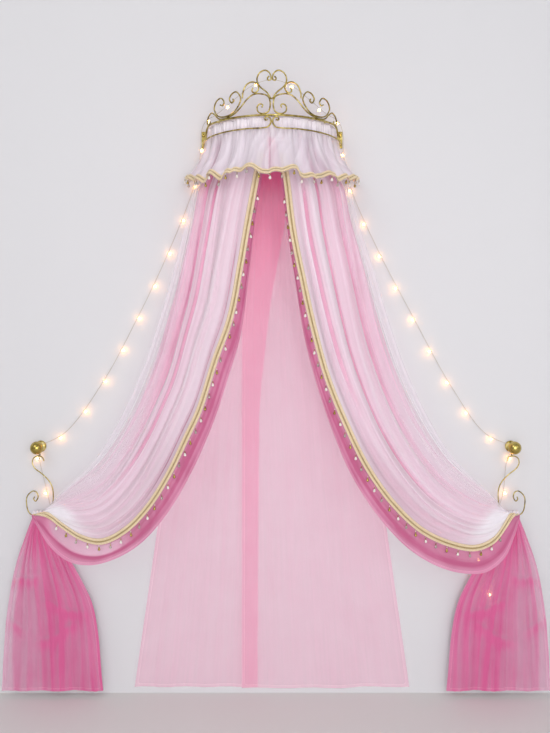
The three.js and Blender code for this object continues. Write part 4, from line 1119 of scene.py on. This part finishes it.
def make_pink_drape(side, place, down):
    sign, seed = SIDES[side][0], SEEDS[side][1]
    across = runs((-1, 0, 16), (0, 1, 150))
    a, d = across[None, :], down[:, None]
    lift = drape_fold(across, down) + gathers(across, down, seed)
    wide = surface(place, across, down, -sign * (lift - LAYER))
    # The layer is narrower than the white one half way down.
    points = np.array([
        at_run(np.where(across > 0, across * (1 - 0.1 * math.sin(math.pi * share)), across), across, row)
        for share, row in zip(down, wide)
    ])
    cover, strip = pink_cover(side, a, d)
    cover = cover + 0.26 * calm(a, d) * (pleats(across, down, seed) - EVEN_PLEAT)
    return cloth(
        "voile_pink_" + side, points, PINK,
        np.where(a < 0, strip, cover) + 0.25 * slope(lift, points),
        "pink_drape_" + side, ("left", "right"),
    )


def make_drapes():
    down = runs((0, 0.12, 22), (0.12, 0.86, 92), (0.86, 1, 48))
    for side, (sign, _) in SIDES.items():
        place = drape_place(side)
        white, pink = make_white_drape(side, place, down), make_pink_drape(side, place, down)

        def line_lift(fine, rows):
            return -sign * (drape_fold(fine, rows) + LAYER)

        # The braid keeps its width to the hook, along the white layer's inner edge.
        run = runs((0.06, 0.9, 190), (0.9, 0.992, 60))
        rows = ribbon_surface(place, line_lift, run, np.linspace(0, BRAID_W, 5), -sign * BRAID_LIFT)
        braid = trim("braid_" + side, rows, "drape_braid_" + side)
        rim = rows[(run > 0.13) & (run < 0.94)][:, 0]
        beads = bead_drops("beads_" + side, rim, np.array([-sign * 4.5, -1.0, -0.5]))
        # Light comes through the thin layers to what hangs behind them.
        white.visible_shadow = pink.visible_shadow = False
        bent([white, pink, *braid, *beads], side)


# Creases across the tails: height at the outer edge, fall across, and the shares of the width between
# which each lies.
TAIL_CREASES = [
    (0.4, -0.1, 0.0, 0.5), (0.6, 0.25, 0.0, 0.32), (0.46, 0.14, 0.45, 1.0), (0.8, -0.2, 0.35, 0.9),
]


def tail_creases(a, d, width):
    total = 0 * (a + d)
    for height, fall, start, end in TAIL_CREASES:
        line = d - height - fall * a - 0.012 * np.sin(14 * a + 9 * height)
        total = total + bell(line, width) * smoothstep(a, start - 0.1, start + 0.15) * (
            fade(a, end - 0.25, end))
    return total


def tail_lift(side, across, down, pressed):
    a, d = across[None, :], down[:, None]
    depth = mix(2.2, 7.0, smoothstep(d, 0.03, 0.4))
    wander = 0.045 * np.sin(5.2 * d + 1.2 + 3 * a) * smoothstep(d, 0.1, 0.6)
    main = depth * (0.75 + 0.25 * np.sin(4 * d + 5 * a)) * wave(3 * (a + wander))
    rng = np.random.default_rng(SEEDS[side][2])
    fine = 0 * main
    for count, size in ((7, 1.9), (12, 1.4), (19, 0.9)):
        phase, drift = rng.uniform(0, 6.28), rng.uniform(-2, 2)
        swell = 0.6 + 0.4 * wave(1.7 * a + 0.9 * d, phase)
        fine += size * swell * wave(count * a, drift * d * 2 + phase)
    fine *= smoothstep(d, 0.03, 0.14) * smoothstep(a, 0, 0.04) * fade(a, 0.96, 1)
    waves = 1.3 * wave(4.5 * d + 0.7 * a, 2 * np.sin(9 * a)) * smoothstep(d, 0.15, 0.3)
    fine = fine + waves + 3.6 * (pressed - 0.35) * smoothstep(d, 0.05, 0.2)
    return main + MOST_GATHER * np.tanh((fine + 1.8 * tail_creases(a, d, 0.03)) / MOST_GATHER)


def tail_cover(layer, a, d, pressed):
    """The white layer, which lies behind, is a veil. The pink one is dense in its inner half, pale at
    its outer edge, and has painted shade just below each crease and a painted highlight along it."""
    if layer == "white":
        return 0.14 + 0.6 * fade(d, 0.02, 0.12) + 0.26 * (pressed - EVEN_PLEAT)
    cover = 0.64 + 0.3 * fade(d, 0.03, 0.35) + 0.3 * (pressed - EVEN_PLEAT)
    cover = cover + 0.2 * bell(a - 0.46 - 0.1 * d, 0.13) * smoothstep(d, 0.1, 0.3)
    cover = cover + 0.16 * smoothstep(a, 0.5, 0.85) - 0.25 * fade(a, 0.02, 0.14)
    # Painted shade in a band just below each crease, and a painted highlight, where the cloth thins,
    # along the crease itself.
    return cover + 0.2 * tail_creases(a, d - 0.03, 0.035) - 0.14 * tail_creases(a, d, 0.014)


def make_tails():
    down, across = runs((0, 0.05, 22), (0.05, 1, 100)), np.linspace(0, 1, 110)
    for side, (sign, _) in SIDES.items():
        pressed = pleats(across, down, SEEDS[side][3], 9)
        lift = tail_lift(side, across, down, pressed)
        objects = []
        for layer, away, material in (("pink", -LAYER, TAIL_PINK), ("white", LAYER, WHITE)):
            points = surface(tail_place(side), across, down, -sign * (lift + away))
            cover = tail_cover(layer, across[None, :], down[:, None], pressed)
            objects.append(cloth(
                f"tail_{layer}_{side}", points, material,
                cover + 0.3 * slope(lift, points), f"{layer}_tail_{side}", ("left", "right", "bottom"),
            ))
        bent(objects, side, tail=True)


VALANCE_DROP, VALANCE_BRAID, VALANCE_HALF = 256.0, 21.0, math.radians(84)
VALANCE_R, VALANCE_FLARE = 282.5, 87.0
VALANCE_FOLDS = 12
POCKET_R = 6.6
VALANCE_CREASE = 0.492
# The valance hem's drop as a share of the middle's, by the place along it from -1 to 1.
VALANCE_HEM = [
    [-1, 0.805], [-0.9, 0.853], [-0.71, 0.914], [-0.595, 0.992], [-0.55, 0.92], [-0.5, 0.914],
    [-0.41, 0.996], [-0.39, 0.973], [-0.335, 0.945], [-0.31, 0.96], [-0.285, 0.887], [-0.22, 0.9],
    [-0.143, 0.879], [-0.088, 0.91], [-0.015, 1], [0.038, 0.93], [0.1, 0.9], [0.17, 0.91],
    [0.195, 0.985], [0.305, 0.992], [0.33, 1.06], [0.37, 1], [0.42, 0.934], [0.47, 0.922],
    [0.49, 0.965], [0.58, 0.957], [0.77, 0.887], [0.905, 0.85], [1, 0.816],
]
# Bands where the pink shows: place along it, half width and depth.
VALANCE_BANDS = [(0.195, 0.013, 0.4), (0.655, 0.03, 0.34), (0.705, 0.014, 0.4)]
VALANCE_RNG = np.random.default_rng(51)
# The darts that run down from the lower rail: place, width, size in millimetres and foot.
VALANCE_DARTS = list(zip(*(
    VALANCE_RNG.uniform(low, high, 34)
    for low, high in ((0.02, 0.98), (0.003, 0.008), (1.5, 4), (0.35, 0.95))
)))


def valance_place(a, d):
    over = np.linspace(-1, 1, 801)
    hem = np.pad(np.interp(over, *np.array(VALANCE_HEM).T), 5, "edge")
    hem = np.convolve(hem, np.full(11, 1 / 11), "valid")
    turn = mix(-VALANCE_HALF, VALANCE_HALF, a)[None, :]
    drop = VALANCE_DROP * np.interp(mix(-1, 1, a), over, hem)[None, :]
    radius = VALANCE_R + VALANCE_FLARE * np.abs(d[:, None]) ** 2.2
    return np.stack(np.broadcast_arrays(
        radius * np.sin(turn), -radius * np.cos(turn), HEADER_Z - drop * d[:, None]), axis=-1)


def valance_folds(a, d):
    return mix(5.2, 10, d[:, None]) * wave(VALANCE_FOLDS * a[None, :] + 0.25)


def valance_lift(a, d):
    folds = valance_folds(a, d)
    a, d = a[None, :], d[:, None]
    ruffle = 1.7 * wave(57 * a, 3 * wave(5 * a)) * fade(d, 0.12, 0.5)
    ruffle = ruffle + 1.5 * wave(31 * a, 1.3 + 2 * wave(3 * a)) * fade(d, 0.3, 0.9)
    for at, width, size, foot in VALANCE_DARTS:
        shape = smoothstep(d, 0.12, 0.22) * fade(d, foot - 0.25, foot)
        ruffle = ruffle - size * bell((a - at) / width, 0.7 + d) * shape
    crease = 5 * bell(a - VALANCE_CREASE, 0.0045) * smoothstep(d, 0.1, 0.3)
    return -(folds + ruffle - crease)


def valance_cover(a, d):
    """Dense at the header, with broad bands where the gathers lie over each other. It is thin in the
    darts below the lower rail, along the middle crease, at the ends and in bands that show the pink."""
    bands = pleats(a, d, 61, 22)
    a, d = a[None, :], d[:, None]
    cover = 0.72 + 0.26 * fade(d, 0.02, 0.2) + 0.2 * (bands - EVEN_PLEAT)
    below = smoothstep(d, 0.16, 0.36)
    for at, width, size in VALANCE_BANDS:
        cover = cover - size * np.exp(-(((a - at - 0.02 * d) / width) ** 4)) * below
    for at, width, size, foot in VALANCE_DARTS:
        shape = smoothstep(d, 0.15, 0.2) * fade(d, 0.24, 0.24 + 0.3 * foot)
        cover = cover - 0.06 * size * bell((a - at) / width, 0.6) * shape
    cover = cover - 0.3 * bell(a - VALANCE_CREASE, 0.004) * below
    return cover - 0.22 * smoothstep(np.abs(a - 0.5), 0.36, 0.48)


def make_rail_pocket():
    """The pocket that the curtain rail runs through, gathered along it."""
    turns = np.linspace(-VALANCE_HALF, VALANCE_HALF, 560)
    around = ring_turns(18)
    gather = 1 + 0.13 * np.sin(turns * 57 * np.pi / VALANCE_HALF + 1) + 0.06 * np.sin(turns * 151)
    r = POCKET_R * gather[:, None]
    out = CURTAIN_PATH + r * np.cos(around)[None]
    ring = np.stack([
        out * np.sin(turns)[:, None], -out * np.cos(turns)[:, None],
        UPPER_Z + r * 1.1 * np.sin(around)[None],
    ], axis=-1)
    corners = ring.reshape(-1, 3)
    # Its threads run along the rail.
    uv = ring_uv(around * 0.007, turns * 0.28 / MM)[:, ::-1]
    shape = corners, ring_faces(*ring.shape[:2]), uv
    values = {"cover": np.full(len(corners), 0.75), "edge": np.full(len(corners), 1.0)}
    return piece("voile_rail_pocket", shape, VALANCE, values=values)


def make_valance():
    across, down = np.linspace(0, 1, VALANCE_FOLDS * 40 + 1), runs((0, 0.3, 18), (0.3, 1, 34))
    lift = valance_lift(across, down)
    points = surface(valance_place, across, down, lift)
    sheet = cloth(
        "voile_valance", points, VALANCE,
        valance_cover(across, down) + 0.16 * slope(lift, points),
        "valance", ("left", "right"), "frame",
    )
    pocket = make_rail_pocket()
    # The braid lies on the hem.
    drop = np.linspace(1 - VALANCE_BRAID / VALANCE_DROP, 1, 5)
    strip = surface(valance_place, across, drop, -valance_folds(across, drop) - 3.6)
    rows = strip.transpose(1, 0, 2)[:, ::-1]
    trimming = trim("braid_valance", rows, "valance_braid")
    trimming += bead_drops("beads_valance", rows[:, 0], np.zeros(3))
    for obj in trimming:
        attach(obj, "frame")


# A panel's inner edge, by shares of its height and of the crown's radius past the middle.
PANEL_INNER = {
    "left": [
        [0, -0.3], [0.17, -0.17], [0.29, 0.01], [0.37, 0.087], [0.44, 0.147], [0.51, 0.19], [1, 0.21],
    ],
    "right": [[0, -0.3], [0.35, -0.433], [1, -0.44]],
}
PANEL_TOP, PANEL_TOP_HALF, PANEL_FOOT_HALF = 8.0, 255, 600
PANEL_NEAR, PANEL_CROSSING = PLATE_T + GAP + 1.2 + LAYER, 11.8


def panel_inner(side, down):
    return CROWN_R * np.interp(down, *np.array(PANEL_INNER[side]).T)[:, None]


def panel_place(side):
    sign = SIDES[side][0]
    # The right panel passes in front of the left one.
    forward = PANEL_CROSSING if side == "right" else 0.0

    def place(a, d):
        outer = mix(PANEL_TOP_HALF, PANEL_FOOT_HALF, d[:, None])
        return np.stack(np.broadcast_arrays(
            sign * mix(panel_inner(side, d), outer, a[None, :]),
            -PANEL_NEAR - forward * fade(a, 0.55, 0.75)[None, :],
            PANEL_TOP - d[:, None] * (HEM + PANEL_TOP)), axis=-1)

    return place


def make_panels():
    across, down = np.linspace(0, 1, 120), np.linspace(0, 1, 110)
    a, d = across[None, :], down[:, None]
    fine = 0.5 * wave(23 * a, 2 * np.sin(4 * a)) * fade(d, 0.1, 0.6)
    fine = fine + 0.7 * wave(11 * a, 1.5 * d + 1) * (0.5 + 0.5 * d)
    lift = 4 * wave(3 * a) + fine
    from_right, from_left = panel_inner("right", down), -panel_inner("left", down)
    for side in SIDES:
        points = surface(panel_place(side), across, down, lift)
        points[..., 1] = np.minimum(points[..., 1], -PLATE_T - 1.0)
        # Where the two panels pass each other the cloth is doubled, and looks deeper.
        x = points[..., 0]
        doubled = smoothstep(x, from_right - 2, from_right + 2) * fade(x, from_left - 2, from_left + 2)
        # The cover, and with it the deep rose, rises towards the top: partly the cloth gathered there,
        # partly painted shade under the valance and painted rose light bounced between the drapes.
        cover = 0.43 + 0.5 * fade(d, 0.03, 0.12) + 0.2 * fade(d, 0.06, 0.36) + 0.1 * doubled
        sheet = cloth(
            "voile_back_" + side, points, PALE, cover + 0.14 * slope(lift, points),
            "back_panel_" + side, ("left", "right", "bottom"), "frame",
        )
        sheet.visible_shadow = False


# ---- Hooks, knobs and studs ----
# The wire's points as shares of its length, outwards from the stud and up from it. The shank's are
# shares of the way from the eye to the wire: outwards, in depth and down.
HOOK = [
    [-0.108, -0.189], [-0.084, -0.14], [-0.021, -0.12], [0.045, -0.15], [0.066, -0.217],
    [0.052, -0.266], [0.01, -0.322], [-0.056, -0.37], [-0.154, -0.458], [-0.22, -0.552],
    [-0.248, -0.66], [-0.24, -0.85], [-0.215, -0.955], [-0.165, -0.998], [-0.045, -1],
    [0.085, -0.998], [0.13, -0.945], [0.152, -0.84], [0.15, -0.75], [0.115, -0.689], [0.052, -0.647],
    [0, -0.668], [-0.021, -0.738], [0.017, -0.8], [0.045, -0.769], [0.035, -0.738],
]
SHANK = [[0, 0, 0], [0.5, 0, 0.7], [1, 0.25, 1], [1, 1, 1]]
# Half outlines, by distance from the wall and radius. Those of the knob's bore and of the stud's end
# are from the knob's back.
KNOB_BORE = [(16.3, 0.01), (16.3, 5.3), (0.4, 5.3), (0, 5.7), (0, 9.4)]
ROSETTE = [
    (0, 5.3), (0, 24.6), (0.5, 25), (2.0, 25), (2.6, 24.4), (2.9, 22.2), (3.6, 21.4), (4.4, 20.6),
    (5.0, 18.6), (5.1, 16.4), (5.6, 15.6), (6.4, 13.4), (6.9, 11.6), (7.0, 9.4), (7.0, 5.9),
    (6.6, 5.3), (0, 5.3),
]
STUD_TIP, STUD_END = [(-30, 0.01), (-25, 3.9)], [(15.6, 4.6), (16.0, 4.0), (16.0, 0.01)]


def hook_shape(sign, x, z):
    """The wire, the shank and the eye that it hangs by, and the weld between shank and wire."""
    wire = [[x + sign * o * HOOK_LEN, -KNOB_DEPTH, z + u * HOOK_LEN] for o, u in HOOK]
    root, foot = np.array([x, -EYE_DEPTH, z - EYE_R]), np.array(wire[2])
    turn = np.linspace(0, 2 * np.pi, 41)
    eye = np.stack([
        x + EYE_R * np.cos(turn), np.full(41, -EYE_DEPTH), z + EYE_R * np.sin(turn)
    ], axis=1)
    return joined([
        tube(*rounded_ends(stepped(wire, 10), HOOK_WIRE)),
        tube(stepped([mix(root, foot, np.array(share)) for share in SHANK], 12), HOOK_WIRE - 0.05),
        tube(eye, HOOK_WIRE),
        spindle(foot, np.array([4.0, 0, 0.8]), 3.3, 7, 10, 0.05),
    ])


def knob_shape(back, x, z):
    turns = np.linspace(math.asin(KNOB_COLLAR / KNOB_R), math.pi, 26)
    face = [(KNOB_DEPTH - KNOB_R * math.cos(t), max(0.01, KNOB_R * math.sin(t))) for t in turns]
    return lathe(lowered(KNOB_BORE, back) + face, 56, x, z)


def stud_shape(back, x, z):
    profile = list(STUD_TIP)
    for i in range(11):
        profile += lowered([(-24.5, 3.9), (-23.7, STUD_R), (-23.2, STUD_R)], i * 2.1)
    profile += [(-1.0, STUD_R), (back + 4, STUD_R)]
    for i in range(7):
        profile += lowered([(4.4, 4.3), (5.2, STUD_R)], back + i * 1.6)
    return lathe(profile + lowered(STUD_END, back), 28, x, z)


def make_hooks():
    back = KNOB_DEPTH - KNOB_R * math.cos(math.asin(KNOB_COLLAR / KNOB_R))
    for side, (sign, reach) in SIDES.items():
        x, z, hook = sign * reach, -KNOB_DROP, "hook_" + side
        shape = hook_shape(sign, x, z)
        solid("hook_wire_" + side, shape, GOLD, 60, hook, [hook])
        shape = knob_shape(back, x, z)
        solid("knob_ball_" + side, shape, BRASS, 40, cad=["knob_" + side])
        shape = lathe(ROSETTE, 56, x, z)
        solid("rosette_" + side, shape, GOLD, 30, cad=["rosette_" + side])
        shape = stud_shape(back, x, z)
        solid("stud_bolt_" + side, shape, STEEL, 30, cad=["stud_" + side])


# ---- Light string and its battery case ----
CASE_X, CASE_TOP, CASE_H, CASE_WALL = 985.0, -2150.0, 74.0, 1.8
GLAND, GLAND_DEPTH = 26.0, 12.0
FIRST_BULB, BULB_PITCH, STUD_CLEAR = 130.0, 156.0, 45.0
# The wire's points from its foot up: below the stud, as shares of the knob's reach and drop; over the
# stud, as shares of its clearance; from there, as shares of the way from the crown's side to the knob,
# of the wire's depth and of the knob's drop; and as shares of the crown's radius, and of its crest.
LIGHT_FOOT = {
    "left": [[0.938, 1.245], [0.972, 1.135], [1.002, 1.039]],
    "right": [[0.871, 1.343], [0.96, 1.164], [0.98, 1.045]],
}
LIGHT_STUD = [[1, -0.435], [0.71, 0.696], [0, 1]]
LIGHT_RUN = {
    "left": [
        [0.849, 1, 0.956], [0.617, 1, 0.793], [0.407, 1, 0.586], [0.217, 1.06, 0.373],
        [0.056, 1.25, 0.153],
    ],
    "right": [
        [0.846, 1, 0.957], [0.644, 1, 0.802], [0.416, 1, 0.571], [0.215, 1.06, 0.358],
        [0.054, 1.25, 0.153],
    ],
}
LIGHT_CROWN = [[1.037, 0.08, -0.2], [1.023, 0.133, 0.047], [0.987, 0.22, 0.147]]
LIGHT_CREST = [[1.133, 0.173], [0.85, 0.201], [0.55, 0.413], [0.267, 0.682]]
LIGHT_HEART = 0.793
LIGHT_R = CROWN_R - SCROLL_R - 1 - 2 * GAP


def light_half(side):
    sign, reach = SIDES[side]

    def place(x, depth, drop):
        return [sign * x, -LIGHT_DEPTH * depth, -KNOB_DROP * drop]

    points = [place(o * reach, 1, d) for o, d in LIGHT_FOOT[side]]
    points += [
        [sign * (reach + o * LIGHT_OVER_STUD), -LIGHT_DEPTH, -KNOB_DROP + u * LIGHT_OVER_STUD]
        for o, u in LIGHT_STUD
    ]
    points += [place(mix(CROWN_R, reach, o), k, d) for o, k, d in LIGHT_RUN[side]]
    points += [[sign * o * CROWN_R, -k * CROWN_R, u * CROWN_R] for o, k, u in LIGHT_CROWN]
    return points + [
        on_crown(sign * o * CROWN_R, UPPER_Z + u * CREST, LIGHT_R) for o, u in LIGHT_CREST
    ]


def light_route():
    leave = CASE_TOP + GLAND + GAP
    heart = on_crown(0, UPPER_Z + LIGHT_HEART * CREST, LIGHT_R)
    return light_half("left") + [heart] + light_half("right")[::-1] + [
        [CASE_X - 13, -14, leave + 93.7], [CASE_X, -GLAND_DEPTH, leave + 18.7],
        [CASE_X, -GLAND_DEPTH, leave],
    ]


def make_wire(line):
    """From the case to the free end."""
    curve = bpy.data.curves.new("light_wire", "CURVE")
    curve.dimensions = "3D"
    curve.bevel_depth = 1.0 * MM
    curve.bevel_resolution = 2
    points = curve.splines.new("POLY").points
    points.add(len(line) - 1)
    flat = np.concatenate([line[::-1] * MM, np.ones((len(line), 1))], axis=1)
    points.foreach_set("co", flat.ravel())
    curve.materials.append(WIRE)
    wire = add_object("light_wire", curve)
    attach(wire, "frame")
    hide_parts("light_string_left", "light_string_crown", "light_string_right")
    return wire


def bulb_places(line, at):
    """Each bulb's point on the wire, the wire's direction there and the bulb's own, which is down, or
    towards the room from the crown's scrolls. None hangs on a stud."""
    studs = [np.array([sign * reach, -LIGHT_DEPTH, -KNOB_DROP]) for sign, reach in SIDES.values()]
    for length in np.arange(FIRST_BULB, at[-1], BULB_PITCH):
        k = min(int(length / at[1]), len(line) - 2)
        run = line[k + 1] - line[k]
        place = line[k] + run * (length / at[1] - k)
        if min(np.linalg.norm(place - stud) for stud in studs) < STUD_CLEAR:
            continue
        run /= np.linalg.norm(run)
        inside = abs(place[0]) < CROWN_R and place[2] > 0
        hang = np.array([-place[0], -place[1], 0.0]) if inside else np.array([0, 0, -1.0])
        hang -= run * hang.dot(run)
        yield place, run, hang / np.linalg.norm(hang)


def make_lights():
    line, at = respaced(stepped(light_route(), 12), 6.0)
    wire = make_wire(line)
    globes, cores, sockets = [], [], []
    for place, run, hang in bulb_places(line, at):
        centre = place + hang * 7.8
        globes.append(spindle(centre, hang * 7.4, 7.4, 13, 14, 1e-4))
        cores.append(spindle(centre, hang * 2.6, 2.6, 5, 8, 0.02))
        for way, steps, radii, sides in (
            (hang, (-2.2, -1.6, 1.4, 2.4), (1.4, 2.3, 2.6, 2.4), 10),
            (run, (-6, -4.5, 4.5, 6.0), (1.1, 1.5, 1.5, 1.1), 8),
        ):
            sockets.append(tube(place + way * np.array(steps)[:, None], radii, sides))
    objects = [
        solid("light_" + name, joined(parts), material, 50)
        for name, parts, material in (
            ("globes", globes, GLOBE), ("cores", cores, LED), ("sockets", sockets, WIRE)
        )
    ]


# A cell's half outline up from its flat end, with its sleeve and its cap, by height and radius.
CELL = [
    (0, 0.01), (0, 4.6), (0.25, 4.9), (0.3, 6.5), (0.9, 7.05), (47.6, 7.05), (48.4, 6.7), (48.6, 6.1),
    (48.9, 5.9), (49.0, 2.9), (49.3, 2.6), (50.2, 2.6), (50.5, 2.3), (50.5, 0.01),
]
CELL_L, CELL_R, CELL_PITCH = 50.5, 7.1, 16.0
# The ribs of the lid's grip.
GRIP_RIBS, GRIP_LOW, GRIP_PITCH, GRIP_HALF, GRIP_DEPTH = 5, 9.0, 3.2, 11.0, 21.0


def make_case():
    for name, width in (("battery_tray", 0.6), ("battery_lid", 0.7), ("case_switch", 0.4)):
        soften([name], CASE, width, 3)
    ribs = []
    for i in range(GRIP_RIBS):
        z = CASE_TOP - CASE_H + GRIP_LOW + i * GRIP_PITCH
        path = [[CASE_X + t * GRIP_HALF, -GRIP_DEPTH, z] for t in np.linspace(-1, 1, 9)]
        ribs.append(tube(path, 0.75 * np.array([0.3, 0.8] + [1] * 5 + [0.8, 0.3]), 8))
    solid("lid_grip", joined(ribs), CASE, 60, "case_lid")
    gland = [(0, 0.01), (0, 3.4), (2.0, 3.4), (2.2, 2.9)]
    for i in range(9):
        r = mix(3.1, 1.95, i / 9)
        gland += lowered([(2.6, r), (3.9, r), (4.1, r - 0.35), (4.9, r - 0.35)], i * 2.4)
    gland += [(GLAND - 0.9, 1.8), (GLAND - 0.3, 1.7), (GLAND - 0.3, 0.01)]
    shape = standing(gland, [CASE_X, -GLAND_DEPTH, CASE_TOP + GAP], 24)
    solid("lead_gland_ribbed", shape, CASE, 35, cad=["lead_gland"])
    # The cells lie side by side, and the middle one stands on its head.
    foot = CASE_TOP - CASE_WALL - (CELL_L + 0.6) + GAP
    depth = 2 + CASE_WALL + GAP + CELL_R
    for i in range(3):
        cell = [(CELL_L - run, r) for run, r in CELL] if i == 1 else CELL
        shape = standing(cell, [CASE_X + (i - 1) * CELL_PITCH, -depth, foot], 32)
        solid(f"cell_body_{i + 1}", shape, SLEEVE, 30, cad=[f"cell_{i + 1}"])


make_drapes()
make_tails()
make_valance()
make_panels()
make_hooks()
make_lights()
make_case()


# ---- Stage and light, in metres ----
STAGE_HALF, STAGE_TOP, FLOOR_Z = 9, 5, -2.42
# The backdrop stands this far behind the wall plates' backs. What is as near to it as SEE_THROUGH
# gets light through it.
BACKDROP_Y, SEE_THROUGH = 0.0006, 0.003
WORLD_LIGHT = 0.44
# Name, place, target, size, power and colour of each lamp.
LAMPS = [
    ("front", (0.5, -5.2, -0.6), (0, 0, -0.95), 2.8, 109, (1, 1, 1)),
    ("key", (-2.6, -4.2, 2.2), (0, 0, -0.9), 2.4, 44, (1, 0.985, 0.97)),
    ("fill", (3.2, -4.0, 0.6), (0, 0, -1.2), 2.8, 18, (1, 1, 1)),
    ("rim", (0, 2.6, 2.2), (0, 0, -0.8), 2.0, 50, (1, 1, 1)),
]


def plane(name, corners, material):
    mesh = bpy.data.meshes.new(name)
    mesh.from_pydata(corners, [], [(0, 1, 2, 3)])
    mesh.materials.append(material)
    return add_object(name, mesh)


def matt(name, colour, rough):
    m, t, b = new_material(name)
    feed(t, b, {"Base Color": (*colour, 1), "Roughness": rough})
    return m, t, b


def make_stage():
    floor = matt("pale_floor", (0.74, 0.73, 0.72), 0.7)[0]
    wall, t, b = matt("pale_wall", (0.745, 0.738, 0.768), 0.8)
    # Seen from behind, the wall lets the canopy show, and light reach what lies against it.
    clear = node(t, "ShaderNodeBsdfTransparent").outputs[0]
    behind = node(t, "ShaderNodeNewGeometry").outputs["Backfacing"]
    near = node(t, "ShaderNodeLightPath").outputs["Ray Length"]
    either = math_node(t, "MAXIMUM", behind, math_node(t, "LESS_THAN", near, SEE_THROUGH))
    swap = node(t, "ShaderNodeMixShader", {0: either, 1: b.outputs[0], 2: clear})
    feed(t, t.nodes["Material Output"], {"Surface": swap.outputs[0]})
    h, z, y = STAGE_HALF, FLOOR_Z, BACKDROP_Y
    plane("floor", [(-h, -h, z), (h, -h, z), (h, h, z), (-h, h, z)], floor)
    plane("backdrop", [(-h, y, z), (h, y, z), (h, y, STAGE_TOP), (-h, y, STAGE_TOP)], wall)


def make_light():
    scene = bpy.context.scene
    scene.world = bpy.data.worlds.new("studio")
    scene.world.use_nodes = True
    background = scene.world.node_tree.nodes["Background"]
    feed(scene.world.node_tree, background, {"Color": (1, 1, 1, 1), "Strength": WORLD_LIGHT})
    for name, place, target, size, power, colour in LAMPS:
        data = bpy.data.lights.new(name, "AREA")
        data.size, data.energy, data.color = size, power, colour
        lamp = add_object(name, data)
        lamp.location = place
        way = Vector(target) - Vector(place)
        lamp.rotation_euler = way.to_track_quat("-Z", "Y").to_euler()
    scene.view_settings.view_transform = "Standard"
    scene.cycles.transparent_max_bounces = 32


make_stage()
make_light()
